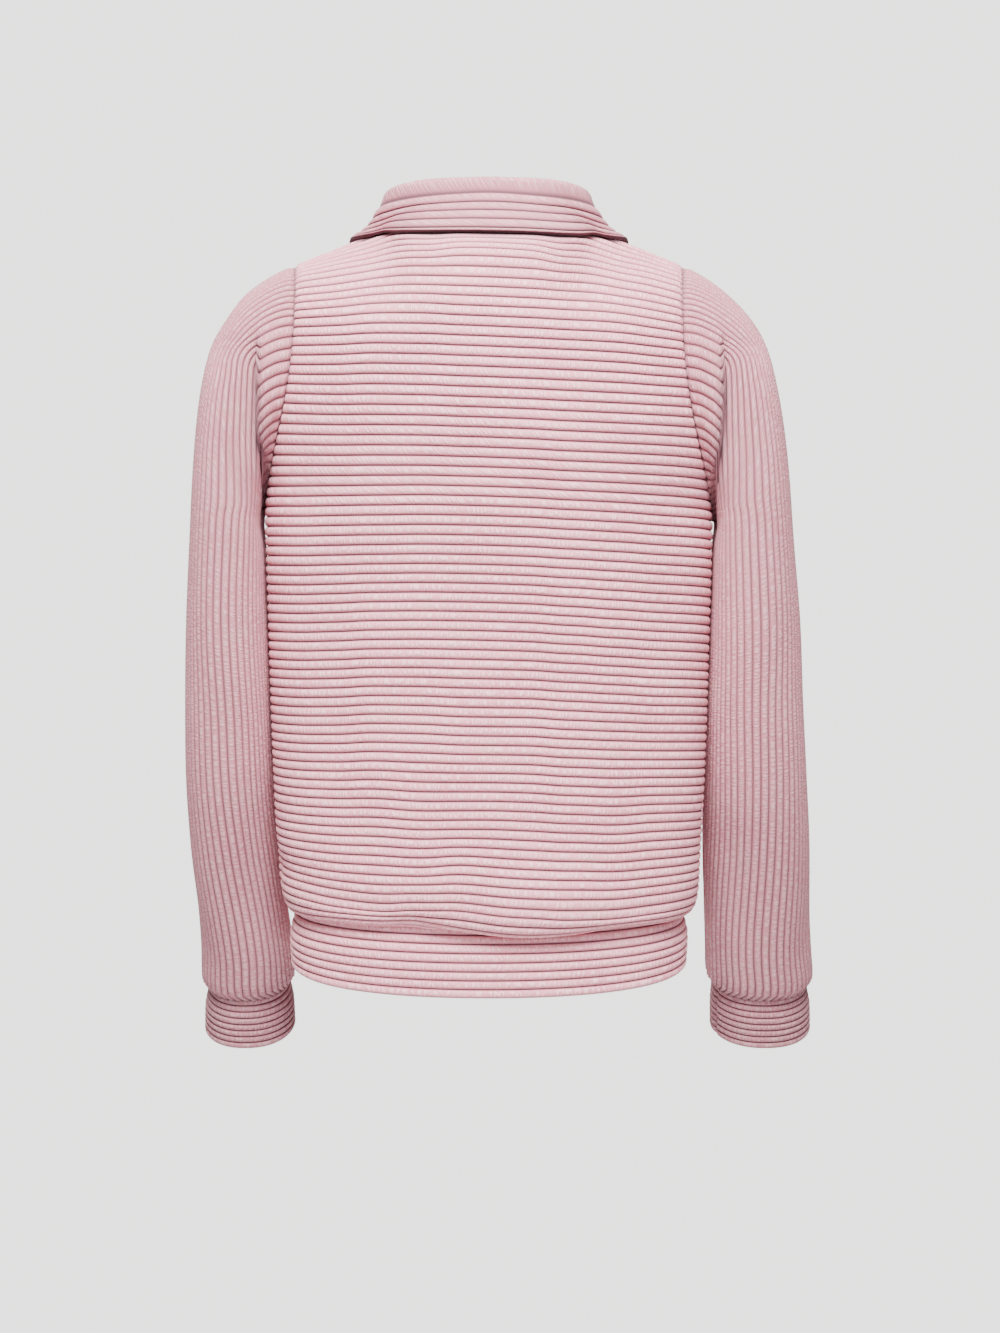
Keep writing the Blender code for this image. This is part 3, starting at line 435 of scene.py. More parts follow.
# The sleeves, cuffs and collar are darker copies of the knit: painted shade, for the less light they
# get; the sleeves have less painted groove shade.
bodyKnit = knitMaterial("pinkKnit")
shadedSleeveKnit = knitMaterial("pinkKnitSleeveShaded", 0.66, 0.62)
shadedCuffKnit = knitMaterial("pinkKnitCuffShaded", 0.48)
shadedCollarKnit = knitMaterial("pinkKnitCollarShaded", 0.74)
print("materials made")


# The body's two panels.

panelForm = {
    "ribs": 78,
    "underarmRib": 31,
    "topFade": 14,           # ribs over which the rows level out below the shoulder
    "neckX": 0.080,
    "neckZ": -0.003,
    "shoulderX": 0.159,
    "shoulderZ": -0.0355,
    "frontNeckRib": 10,
    "zipEndRib": 32,
    "slotHalf": 0.006,
    "strip": 0.02,           # half the strip of the front's places that spans the zip opening
    "rowsPerRib": 12,
    "columns": 84,
    "nearPlaces": (0.0, 0.004, 0.009, 0.016),   # places beside a seam
    "innerStep": 3,          # the inside has every third place
    "cornerSpread": 0.065,   # how widely the neck's corner softens
    "cornerRibs": 3,
    "cornerEdge": 0.3,
    "cornerWeights": ((-2, 0.1), (-1, 0.24), (0, 0.32), (1, 0.24), (2, 0.1)),
    "foldRibs": 6,           # ribs below the shoulder in which the folds set in
    "foldEdge": 0.06,        # and the share of the width beside a seam
    "liftRibs": (74, 4),     # the rib from which the lift dies away, and over how many
    "seamFlat": 0.55,        # how much a seam flattens the ribs
    "collarShade": 0.05,     # ribs past the collar's edge that its shadow reaches
    "collarDark": 0.9,
    "collarFade": 0.35,
    "collarAcross": 0.7,
    "round": 0.8,            # power of the cosine that y follows
    "fall": 2.2,             # power of the place across that z follows
    "neckFall": 1.6,         # how the front's neckline drops
    "neckRound": 0.75,
    "nearStep": 1.6,         # from the last near place to the even steps, in near places
}
panelColumns = ("rib", "middleY", "middleZ", "edgeX", "edgeY", "edgeZ", "turn", "lean")
backLevels = {"columns": panelColumns, "rows": (
    (0, 0.0550, -0.0140, 0.1590, 0.0000, -0.0355, 40, 0.000),
    (3, 0.0730, -0.0270, 0.1575, 0.0200, -0.0420, 41, 0.012),
    (6, 0.0880, -0.0430, 0.1560, 0.0390, -0.0530, 43, 0.022),
    (9, 0.0970, -0.0655, 0.1550, 0.0530, -0.0705, 46, 0.024),
    (12, 0.1035, -0.0900, 0.1550, 0.0610, -0.0900, 50, 0.025),
    (16, 0.1070, -0.1220, 0.1570, 0.0655, -0.1190, 55, 0.027),
    (20, 0.1080, -0.1540, 0.1615, 0.0620, -0.1500, 62, 0.028),
    (24, 0.1075, -0.1850, 0.1690, 0.0480, -0.1820, 71, 0.027),
    (27, 0.1060, -0.2080, 0.1750, 0.0300, -0.2055, 79, 0.026),
    (31, 0.1045, -0.2380, 0.1810, 0.0000, -0.2360, 88, 0.025),
    (36, 0.1020, -0.2760, 0.1800, 0.0000, -0.2740, 90, 0.024),
    (44, 0.1000, -0.3350, 0.1780, 0.0000, -0.3340, 90, 0.024),
    (54, 0.1010, -0.4095, 0.1755, 0.0000, -0.4085, 90, 0.022),
    (64, 0.1060, -0.4817, 0.1725, 0.0000, -0.4785, 90, 0.022),
    (69, 0.1110, -0.5184, 0.1705, 0.0000, -0.5130, 90, 0.024),
    (72, 0.1140, -0.5405, 0.1695, 0.0000, -0.5335, 90, 0.020),
    (74, 0.1135, -0.5550, 0.1675, 0.0000, -0.5460, 90, 0.014),
    (76, 0.1085, -0.5640, 0.1635, 0.0000, -0.5545, 90, 0.008),
    (77, 0.1040, -0.5660, 0.1608, 0.0000, -0.5565, 90, 0.004),
    (78, 0.0980, -0.5655, 0.1575, 0.0000, -0.5560, 90, 0.000),
)}
frontLevels = {"columns": panelColumns, "rows": (
    (0, -0.0100, 0.0280, 0.1590, 0.0000, -0.0355, 40, 0.000),
    (3, -0.0340, -0.0020, 0.1560, -0.0190, -0.0430, 41, 0.012),
    (6, -0.0550, -0.0320, 0.1520, -0.0350, -0.0560, 43, 0.022),
    (9, -0.0705, -0.0620, 0.1495, -0.0460, -0.0750, 46, 0.024),
    (12, -0.0830, -0.0880, 0.1485, -0.0525, -0.0960, 50, 0.025),
    (16, -0.0970, -0.1210, 0.1505, -0.0565, -0.1250, 55, 0.027),
    (20, -0.1065, -0.1530, 0.1560, -0.0540, -0.1540, 62, 0.028),
    (24, -0.1125, -0.1840, 0.1650, -0.0430, -0.1840, 71, 0.027),
    (27, -0.1150, -0.2070, 0.1725, -0.0280, -0.2065, 79, 0.026),
    (31, -0.1165, -0.2370, 0.1810, 0.0000, -0.2360, 88, 0.025),
    (36, -0.1155, -0.2750, 0.1800, 0.0000, -0.2740, 90, 0.024),
    (44, -0.1115, -0.3350, 0.1780, 0.0000, -0.3340, 90, 0.024),
    (54, -0.1105, -0.4095, 0.1755, 0.0000, -0.4085, 90, 0.022),
    (64, -0.1145, -0.4805, 0.1725, 0.0000, -0.4785, 90, 0.022),
    (69, -0.1190, -0.5165, 0.1705, 0.0000, -0.5130, 90, 0.024),
    (72, -0.1215, -0.5380, 0.1695, 0.0000, -0.5335, 90, 0.020),
    (74, -0.1205, -0.5515, 0.1675, 0.0000, -0.5460, 90, 0.014),
    (76, -0.1155, -0.5600, 0.1635, 0.0000, -0.5545, 90, 0.008),
    (77, -0.1110, -0.5620, 0.1608, 0.0000, -0.5565, 90, 0.004),
    (78, -0.1050, -0.5615, 0.1575, 0.0000, -0.5560, 90, 0.000),
)}

# How far the ribs hang below their level, in mm, at each place from the right to the left.
bodySag = {
    "places": (-0.157, -0.134, -0.099, -0.064, -0.029, -0.005, 0.018, 0.053, 0.088, 0.123, 0.150),
    "bell": 0.021,
    "columns": ("rib", "s1", "s2", "s3", "s4", "s5", "s6", "s7", "s8", "s9", "s10", "s11"),
    "rows": (
        (0, 0, 0, 0, 0, 0, 0, 0, 0, 0, 0, 0),
        (5, 2.1, 2.8, 6.2, 7.2, 0.2, -2.6, -2.5, 2.0, 4.4, 2.8, 1.5),
        (8, 3.5, 3.5, 5.0, 6.0, 3.2, 1.2, 0.8, 1.3, 2.3, 2.5, 0.8),
        (12, 4.0, 3.3, 2.1, 2.5, 1.6, 0.5, -0.5, -1.9, -2.1, -0.3, 0.3),
        (16, 3.4, 3.1, 2.0, 1.7, 1.1, 0.2, -0.9, -1.9, -2.2, -0.3, 1.0),
        (24, 1.5, 2.0, 2.1, 1.9, 0.8, -0.1, -1.0, -1.8, -1.9, -1.2, -1.2),
        (34, 4.3, 4.4, 3.3, 2.2, 0.8, -0.1, -0.8, -1.1, -0.4, 0.3, 1.4),
        (44, 5.9, 5.7, 4.4, 2.6, 0.8, 0.0, -0.7, -0.9, -0.3, 1.5, 3.3),
        (54, 3.9, 4.2, 3.2, 2.1, 0.1, 0.0, -0.4, -1.7, -1.8, 0.7, 2.3),
        (64, 3.4, 2.9, 4.6, 3.2, 1.3, -0.1, 0.2, 1.0, -0.5, 1.1, 2.1),
        (69, 2.1, 2.9, 4.2, 3.0, 1.8, -0.1, -2.4, 0.7, 0.1, 0.8, 0.5),
        (72, 1.2, 2.5, 3.8, 2.8, 1.9, 0.0, -3.1, -1.7, 0.4, -0.3, -2.1),
        (74, 2.4, 4.0, 5.0, 4.1, 1.8, 0.4, -4.2, -3.1, 0.2, -0.5, -3.1),
        (76, 1.2, 2.6, 3.0, 4.2, 4.3, 2.8, -0.3, -3.1, -0.9, -1.9, -0.5),
        (78, 0, 0, 0, 0.5, 0.5, 0, 0, -0.5, 0, 0, 0),
    ),
}

# The collar's fold, and its free edge as a place on the panel under it, from the middle of the
# back (0) by the shoulder (1) to the front (2).
collarLine = {"columns": ("station", "foldX", "foldY", "foldZ", "edgeAcross", "edgeRib"), "rows": (
    (0.0, 0.0000, 0.0470, 0.0278, 0.000, 2.45),
    (0.4, 0.0450, 0.0385, 0.0278, 0.380, 1.95),
    (0.8, 0.0780, 0.0130, 0.0252, 0.625, 0.80),
    (1.0, 0.0828, -0.0060, 0.0215, 0.690, 0.10),
    (1.3, 0.0710, -0.0340, 0.0140, 0.710, 5.00),
    (1.7, 0.0370, -0.0610, -0.0180, 0.470, 11.50),
    (2.0, 0.0110, -0.0720, -0.0440, 0.230, 14.50),
)}

# Soft folds of a panel, each along a line from (x, rib) to (x, rib): how wide it is, in metres
# and in ribs, how far it dips in, and how far it lifts the ribs.
foldColumns = ("fromX", "fromRib", "toX", "toRib", "halfX", "halfRib", "dip", "lift")
backFolds = {"columns": foldColumns, "rows": (
    (0.045, 77.0, 0.042, 66.0, 0.012, 5.0, -0.0012, 0.0000),
    (0.160, 71.0, 0.060, 75.5, 0.030, 2.2, 0.0034, 0.0000),
    (-0.020, 77.0, -0.050, 73.0, 0.040, 2.5, -0.0020, 0.0000),
    (-0.100, 78.0, -0.140, 66.0, 0.026, 5.0, 0.0020, 0.0000),
    (0.100, 66.0, 0.135, 44.0, 0.022, 9.0, 0.0014, 0.0000),
    (-0.120, 58.0, -0.150, 36.0, 0.022, 9.0, 0.0016, 0.0000),
    (0.090, 22.0, 0.135, 30.0, 0.020, 4.0, 0.0018, 0.0000),
    (-0.095, 20.0, -0.140, 30.0, 0.022, 4.0, 0.0020, 0.0000),
)}
frontFolds = {"columns": foldColumns, "rows": (
    (0.050, 76.0, 0.030, 60.0, 0.022, 6.0, 0.0018, 0.0026),
    (-0.070, 77.0, -0.040, 62.0, 0.026, 6.0, 0.0018, 0.0022),
    (-0.150, 70.0, -0.090, 75.0, 0.030, 2.5, 0.0028, -0.0010),
    (0.110, 60.0, 0.140, 40.0, 0.022, 9.0, 0.0014, 0.0004),
    (-0.110, 30.0, -0.140, 22.0, 0.022, 4.0, 0.0020, 0.0004),
    (0.105, 30.0, 0.138, 21.0, 0.022, 4.0, 0.0020, 0.0004),
)}


# Half the neck's width as a share of the shoulder level: asin(neckX sin(turn) / shoulderX) / turn.
def neckShare():
    turn = math.radians(backLevels["rows"][0][6])
    return math.asin(panelForm["neckX"] * math.sin(turn) / panelForm["shoulderX"]) / turn


# A panel's point at a place across (-1 to 1) and a rib, before the neck is shaped. x follows the
# sine of the swept angle, y its cosine to the power 0.8, and z the place across to the power 2.2.
def levelPoint(levels, across, rib):
    turn = np.radians(readColumn(levels, "turn", rib))
    edgeY = readColumn(levels, "edgeY", rib)
    middleZ = readColumn(levels, "middleZ", rib)
    x = readColumn(levels, "edgeX", rib) * np.sin(across * turn) / np.sin(turn)
    near = np.clip(np.cos(across * turn), 0, 1) ** panelForm["round"]
    last = np.clip(np.cos(turn), 0, 1) ** panelForm["round"]
    y = edgeY + (readColumn(levels, "middleY", rib) - edgeY) * (near - last) / (1 - last)
    fall = np.abs(across) ** panelForm["fall"]
    z = middleZ + (readColumn(levels, "edgeZ", rib) - middleZ) * fall
    return pointsOf(x, y, z + readColumn(levels, "lean", rib) * x * np.abs(across))


# A panel's top edge: straight shoulder lines outside the neck, and on the back a quarter
# ellipse inside it.
def topEdge(levels, across):
    neck = neckShare()
    form = panelForm
    side = np.sign(across)
    run = (np.abs(across) - neck) / (1 - neck)
    x = side * (form["neckX"] + (form["shoulderX"] - form["neckX"]) * run)
    y = np.zeros_like(run)
    z = form["neckZ"] + (form["shoulderZ"] - form["neckZ"]) * run
    if levels is backLevels:
        first = backLevels["rows"][0]
        swing = np.clip(np.abs(across) / neck, 0, 1) * math.pi / 2
        inside = np.abs(across) < neck
        x = np.where(inside, side * form["neckX"] * np.sin(swing), x)
        y = np.where(inside, first[1] * np.cos(swing), y)
        z = np.where(inside, form["neckZ"] + (first[2] - form["neckZ"]) * np.cos(swing) ** 2, z)
    return pointsOf(x, y, z)


# What the top edge asks of a panel, averaged over places beside it, so that the neck's corner
# softens down the ribs.
def topLift(levels, across, rib):
    form = panelForm
    spread = (form["cornerSpread"] * easeOff(1 - rib / form["cornerRibs"])
              * easeOff(1 - (1 - np.abs(across)) / form["cornerEdge"]))
    total = 0
    for step, weight in form["cornerWeights"]:
        at = np.clip(across + spread * step, -1, 1)
        total = total + weight * (topEdge(levels, at) - levelPoint(levels, at, np.zeros_like(at)))
    return total


# How far the ribs hang below their level at x: the table's columns blended by bells.
def ribSag(x, rib):
    places = np.array(bodySag["places"])
    names = bodySag["columns"][1:]
    values = np.stack([readColumn(bodySag, name, rib) for name in names], -1) * 0.001
    weights = bell(x[..., None] - places, bodySag["bell"])
    return np.sum(values * weights, -1) / np.sum(weights, -1)


# A panel's outer face in its grooves: its level, moved by what the top edge asks, which fades
# out smoothly down the first ribs.
def panelPoint(levels, across, rib):
    across, rib = np.broadcast_arrays(np.asarray(across, float), np.asarray(rib, float))
    fade = easeOff(rib / panelForm["topFade"])[..., None]
    points = levelPoint(levels, across, rib) + topLift(levels, across, rib) * fade
    points[..., 2] -= ribSag(points[..., 0], rib)
    return points


# Where the front starts beside its middle: the neckline, then the zip opening.
def frontStart(rib):
    form = panelForm
    fall = np.clip(np.asarray(rib, float) / form["frontNeckRib"], 0, 1) ** form["neckFall"]
    x = form["slotHalf"] + (form["neckX"] - form["slotHalf"]) * (1 - fall) ** form["neckRound"]
    turn = np.radians(readColumn(frontLevels, "turn", rib))
    edge = readColumn(frontLevels, "edgeX", rib)
    return np.arcsin(np.clip(x * np.sin(turn) / edge, -1, 1)) / turn


# A place on the front as a share of its width: past the strip at the middle it runs evenly
# from where the front starts to its edge.
def frontAcross(place, rib):
    start = frontStart(rib)
    strip = panelForm["strip"]
    return np.sign(place) * (start + (1 - start) * (np.abs(place) - strip) / (1 - strip))


# How deep each fold dips and how far it lifts at (x, rib): a bell across the fold's line that
# dies away past its ends.
def foldShift(folds, x, rib):
    dip = np.zeros_like(x)
    lift = np.zeros_like(x)
    for fromX, fromRib, toX, toRib, halfX, halfRib, dipBy, liftBy in folds["rows"]:
        runX, runRib = (toX - fromX) / halfX, (toRib - fromRib) / halfRib
        atX, atRib = (x - fromX) / halfX, (rib - fromRib) / halfRib
        t = np.clip((atX * runX + atRib * runRib) / (runX ** 2 + runRib ** 2), 0, 1)
        near = np.exp(-((atX - t * runX) ** 2 + (atRib - t * runRib) ** 2))
        dip += dipBy * near
        lift += liftBy * near
    return dip, lift


# A panel's outer and inner grids. The ribs stand out along the panel's own direction, and
# each seam draws the cloth in.
def panelGrids(levels, folds, places, inner, sign):
    form = panelForm
    rows = ribPlaces(form["ribs"], form["rowsPerRib"])
    place, rib = np.meshgrid(places, rows)
    across = place if levels is backLevels else frontAcross(place, rib)
    points = panelPoint(levels, across, rib)
    points[..., 1] += cloth["seamGap"] / 2 * sign
    dip, lift = foldShift(folds, points[..., 0], rib)
    quiet = (easeOff(1 - np.clip(rib / form["foldRibs"], 0, 1))
             * easeOff(1 - np.clip((1 - np.abs(across)) / form["foldEdge"], 0, 1)))
    liftEnd, liftFade = form["liftRibs"]
    points[..., 2] += lift * quiet * easeOff((rib - liftEnd) / liftFade)
    if levels is backLevels:
        away = gridNormals(points)
    else:
        half = len(places) // 2
        away = np.concatenate([gridNormals(side) for side in (points[:, :half], points[:, half:])],
                              axis=1)
    away *= np.sign(np.sum(away[..., 1])) * sign
    points -= away * (dip * quiet)[..., None]
    length = rowLengths(points)
    edge = np.minimum(length, length[:, -1:] - length)
    seam = bell(edge, cloth["seamWidth"])
    height = cloth["ribHeight"] * ribSection(rib) * (1 - form["seamFlat"] * seam)
    outer = points + away * (height - cloth["seamPull"] * seam)[..., None]
    # painted shade: dark on each seam, and on the back a painted shadow under the collar's free edge
    shade = cloth["seamShade"] * bell(edge, cloth["shadeWidth"])
    if levels is backLevels:
        behind = collarLine["rows"][:4]
        station = np.interp(np.abs(across), [row[4] for row in behind], [row[0] for row in behind])
        under = readColumn(collarLine, "edgeRib", station) + form["collarShade"]
        dark = form["collarDark"] * easeOff((rib - under) / form["collarFade"])
        shade = np.maximum(shade, dark * (np.abs(across) < form["collarAcross"]))
    spots = np.stack([length, rib], -1)
    keepRows = np.arange(0, len(rows), form["rowsPerRib"])
    keep = np.ix_(keepRows, inner)
    lining = points[keep] - away[keep] * cloth["wall"]
    return rows, outer, spots, rows[keepRows], lining, spots[keep], shade


# Places from low to high: the near ones beside both ends, and even steps between.
def edgePlaces(low, high, count):
    near = np.array(panelForm["nearPlaces"])
    step = near[-1] * panelForm["nearStep"]
    return np.concatenate([low + near, np.linspace(low + step, high - step, count),
                           high - near[::-1]])


# Which of a row of places the inside keeps: every innerStep-th, and the last.
def innerOnes(count):
    return np.unique(np.append(np.arange(0, count, panelForm["innerStep"]), count - 1))


# The back, whole from side to side.
def makeBack():
    places = edgePlaces(-1, 1, panelForm["columns"])
    inner = innerOnes(len(places))
    rows, outer, spots, innerRows, lining, innerSpots, shade = panelGrids(
        backLevels, backFolds, places, inner, 1)
    piece = shell("backPanel", (outer, places, rows), (lining, places[inner], innerRows),
                  (spots, innerSpots), bodyKnit, shade=shade)
    settle(piece, "back")


# The front: two mirrored halves that part above the zip's end.
def makeFront():
    half = edgePlaces(panelForm["strip"], 1, panelForm["columns"] // 2)
    places = np.concatenate([-half[::-1], half])
    middle = len(half) - 1
    keepHalf = innerOnes(len(half))
    inner = np.concatenate([len(half) - 1 - keepHalf[::-1], len(half) + keepHalf])
    rows, outer, spots, innerRows, lining, innerSpots, shade = panelGrids(
        frontLevels, frontFolds, places, inner, -1)
    end = panelForm["zipEndRib"]
    slots = ((middle, end * panelForm["rowsPerRib"]), (len(keepHalf) - 1, end))
    piece = shell("frontPanel", (outer, places, rows), (lining, places[inner], innerRows),
                  (spots, innerSpots), bodyKnit, slots=slots, shade=shade)
    settle(piece, "front")


makeBack()
makeFront()
print("body panels made")


# The hem band.

hemForm = {"ribs": 9, "rowsPerRib": 12, "turns": 260}
hemLevels = {"columns": ("rib", "backY", "frontY", "backZ", "frontZ", "edgeX", "edgeZ"), "rows": (
    (0, 0.0960, -0.1030, -0.5570, -0.5530, 0.1555, -0.5480),
    (2, 0.0968, -0.1038, -0.5720, -0.5680, 0.1563, -0.5600),
    (5, 0.0995, -0.1062, -0.5935, -0.5890, 0.1602, -0.5790),
    (9, 0.0985, -0.1055, -0.6210, -0.6170, 0.1590, -0.6020),
)}


# turn runs once round: 0 to 1 across the back from the right, 1 to 2 back along the front. x
# follows the sine of the angle and y its cosine to the power 0.8.
def hemPoint(turn, rib):
    turn = np.mod(turn, 2.0)
    behind = turn <= 1
    across = np.where(behind, 2 * turn - 1, 3 - 2 * turn)
    far, low = [np.where(behind, readColumn(hemLevels, "back" + axis, rib),
                         readColumn(hemLevels, "front" + axis, rib)) for axis in "YZ"]
    angle = across * math.pi / 2
    x = readColumn(hemLevels, "edgeX", rib) * np.sin(angle)
    y = far * np.clip(np.cos(angle), 0, 1) ** panelForm["round"]
    fall = np.abs(across) ** panelForm["fall"]
    z = low + (readColumn(hemLevels, "edgeZ", rib) - low) * fall
    return pointsOf(x, y, z)


# The hem band, one piece all round.
def makeHemBand():
    form = hemForm
    rows = ribPlaces(form["ribs"], form["rowsPerRib"])
    turns = np.arange(form["turns"]) * 2.0 / form["turns"]
    turn, rib = np.meshgrid(turns, rows)
    points = hemPoint(turn, rib)
    piece = bandShell("hemBand", points, tubeNormals(points), cloth["ribHeight"] * ribSection(rib),
                      turns, rows, form["rowsPerRib"], bodyKnit, 2.0)
    settle(piece, "hem_band")


makeHemBand()
print("hem band made")


# Sleeves.

sleeveForm = {
    "pitch": 0.0063,         # of the sleeve's lengthwise ribs
    "stepsPerRib": 8,
    "rows": 120,
    "nearLength": 0.095,     # beside the armhole, where the rows lie closer
    "innerColumns": 64,
    "innerRows": 48,
    "tuck": 0.0006,          # how far the armhole's edge reaches under the seam
    "tuckWidth": 0.0015,
    "joinRings": 4,          # rings over which the armhole eases into the oval
    "seamClose": 0.0004,     # a point nearer the underarm seam lies on it
    "seamShare": 0.5,        # of a seam's pull where two of them meet
    "samples": 401,          # places on half a ring where the cloth is measured
    "fineRows": 1500,        # and places down the sleeve, on the line at this place round it
    "fineLine": 0.2,
    "foldsFrom": 1.5,        # rings over which the folds set in
    "evenPlaces": 360,       # round the grid that gives the cloth's direction
    "widest": 1.15,          # how far apart ribs may count as loose
    "squeeze": 1.5,
    "cuffPull": 0.6,
    # painted shade: in the crease beside the armhole, on the armhole's and the cuff's seams, and
    # towards the cuff
    "creaseShade": 0.60,
    "creaseRun": 0.12,       # metres down the sleeve that the crease's painted shade reaches
    "creaseAt": 0.0030,
    "creaseWidth": 0.0050,
    "creaseDeep": 0.0135,
    "cuffShade": 0.5,
    "cuffShadeWidth": 0.0016,
    "lowShade": 0.16,        # painted shade on the lower sleeve, which faces a little down, at the cuff
    "lowRun": 0.28,          # over this length
}
# The arm's rings: how far out and how high its outer and its body side are, and how deep it is.
sleeveLevels = {"columns": ("ring", "outLeft", "outRight", "outZ", "inLeft", "inRight", "inZ",
                            "middleY", "depth", "tip"), "rows": (
    (0, 0.1590, 0.1590, -0.0355, 0.1810, 0.1810, -0.2360, 0.0020, 0.0650, 0.00),
    (1, 0.1745, 0.1725, -0.0430, 0.1865, 0.1865, -0.2375, 0.0020, 0.0700, 0.00),
    (2, 0.1965, 0.1935, -0.0590, 0.1885, 0.1885, -0.2420, 0.0020, 0.0735, 0.00),
    (3, 0.2110, 0.2110, -0.0787, 0.1885, 0.1885, -0.2480, 0.0015, 0.0755, 0.00),
    (4, 0.2245, 0.2245, -0.1040, 0.1875, 0.1875, -0.2545, 0.0010, 0.0760, 0.00),
    (5, 0.2335, 0.2345, -0.1440, 0.1860, 0.1860, -0.2640, 0.0000, 0.0755, 0.00),
    (6, 0.2385, 0.2415, -0.1950, 0.1848, 0.1848, -0.2790, -0.0005, 0.0735, 0.00),
    (7, 0.2420, 0.2465, -0.2590, 0.1838, 0.1838, -0.3050, -0.0025, 0.0705, 0.01),
    (8, 0.2455, 0.2525, -0.3250, 0.1822, 0.1822, -0.3480, -0.0065, 0.0670, 0.03),
    (9, 0.2475, 0.2560, -0.3900, 0.1805, 0.1805, -0.4010, -0.0150, 0.0635, 0.07),
    (10, 0.2485, 0.2605, -0.4500, 0.1790, 0.1800, -0.4540, -0.0270, 0.0600, 0.13),
    (11, 0.2470, 0.2650, -0.5050, 0.1770, 0.1810, -0.5060, -0.0430, 0.0560, 0.19),
    (12, 0.2435, 0.2680, -0.5600, 0.1740, 0.1835, -0.5590, -0.0620, 0.0520, 0.24),
    (13, 0.2425, 0.2715, -0.6020, 0.1695, 0.1860, -0.6010, -0.0780, 0.0495, 0.28),
    (14, 0.2430, 0.2735, -0.6220, 0.1675, 0.1870, -0.6220, -0.0865, 0.0475, 0.30),
    (15, 0.2395, 0.2705, -0.6285, 0.1715, 0.1912, -0.6285, -0.0900, 0.0440, 0.30),
)}

# The fold beside each armhole: at each height, how far out its edge is, how deep the cloth
# beyond it lies and how much its edge stands up. Metres, the same behind and in front.
armCrease = {"columns": ("drop", "xLeft", "xRight", "depth", "rise"), "rows": (
    (0.070, 0.1800, 0.1815, 0.0000, 0.0000),
    (0.095, 0.1798, 0.1820, 0.0008, 0.0004),
    (0.115, 0.1794, 0.1822, 0.0060, 0.0012),
    (0.150, 0.1800, 0.1828, 0.0125, 0.0020),
    (0.180, 0.1806, 0.1817, 0.0135, 0.0020),
    (0.205, 0.1790, 0.1810, 0.0100, 0.0010),
    (0.235, 0.1770, 0.1800, 0.0040, 0.0000),
    (0.270, 0.1760, 0.1790, 0.0000, 0.0000),
)}

# How the cloth falls past that edge, stands on it, and fades round the sleeve and down its
# first rings.
creaseForm = {
    "fallAt": 0.0020,
    "fallWidth": 0.0007,
    "fallReach": 0.026,
    "fallCurve": 1.3,
    "standAt": -0.0025,
    "standWidth": 0.0060,
    "swing": 0.35,
    "rings": 0.5,
}

# How the ribs hang straight down past the fold. Drops are depths under the neck.
hangForm = {
    "edgeDrop": (0.20, 0.12),       # where the body side leaves the fold's edge, and over how far
    "leastHalf": 0.012,
    "oval": (0.033, 0.066),         # half sizes of the level oval, across and deep
    "ovalSteps": 181,
    "share": 0.0045,                # metres past the edge over which the hanging sets in
    "topDrop": (0.098, 0.035),
    "lowDrop": (0.30, 0.12),
    "wideFrom": 0.085,              # beyond this length the armhole's ribs lie closer
    "wideShare": 0.66,
    "wideDrop": (0.22, 0.08),
}

# Folds of the sleeve: where along the rings and round it (0 outer side, 0.25 back, 0.5 body),
# how far round they drift a ring, how far they run each way, and how deep they are.
sleeveFolds = {"columns": ("ring", "around", "slant", "length", "width", "depth"), "rows": (
    (8.6, 0.180, 0.030, 1.0, 0.070, 0.0025),
    (11.2, 0.330, -0.030, 0.9, 0.080, 0.0030),
    (9.6, 0.780, 0.020, 1.1, 0.080, 0.0030),
    (12.6, 0.120, 0.030, 0.7, 0.080, 0.0025),
)}


# Rows of points beside the armhole moved towards it: the tuck times a bell of the distance.
def tuckedIn(points, runs):
    lead = unitOf(points[:1] - points[1:2] + 1e-12)
    reach = sleeveForm["tuck"] * bell(runs, sleeveForm["tuckWidth"])
    return points + lead * reach[:, None, None]


# The seam round the armhole: from the shoulder down the back, under the arm and up the front.
def armholePoint(side, around):
    around = np.mod(around, 1.0)
    rib = np.where(around <= 0.5, around * 2, 2 - around * 2) * panelForm["underarmRib"]
    edge = np.full_like(rib, float(side))
    behind = (around <= 0.5)[..., None]
    return np.where(behind, panelPoint(backLevels, edge, rib), panelPoint(frontLevels, edge, rib))


# Which hand's columns a side reads.
def handOf(side):
    return "Left" if side > 0 else "Right"


# An arm's oval through its outer and inner places: x on the cosine to the power 0.9 and y on
# the sine to the power 0.95. The cosine and sine come with it.
def armOval(around, outX, inX, middleY, depth):
    angle = around * 2 * math.pi
    c, s = np.cos(angle), np.sin(angle)
    x = (outX + inX) / 2 + (outX - inX) / 2 * np.sign(c) * np.abs(c) ** 0.9
    return x, middleY + depth * np.sign(s) * np.abs(s) ** 0.95, c, s


# A ring of the sleeve: the arm's oval, with z on the cosine and tipped forward by the sine.
def ringPoint(side, around, ring):
    outX, inX = (readColumn(sleeveLevels, name + handOf(side), ring) for name in ("out", "in"))
    outZ, inZ = (readColumn(sleeveLevels, name, ring) for name in ("outZ", "inZ"))
    depth = readColumn(sleeveLevels, "depth", ring)
    x, y, c, s = armOval(around, outX, inX, readColumn(sleeveLevels, "middleY", ring), depth)
    z = (outZ + inZ) / 2 + (outZ - inZ) / 2 * c - readColumn(sleeveLevels, "tip", ring) * depth * s
    return pointsOf(x * side, y, z)


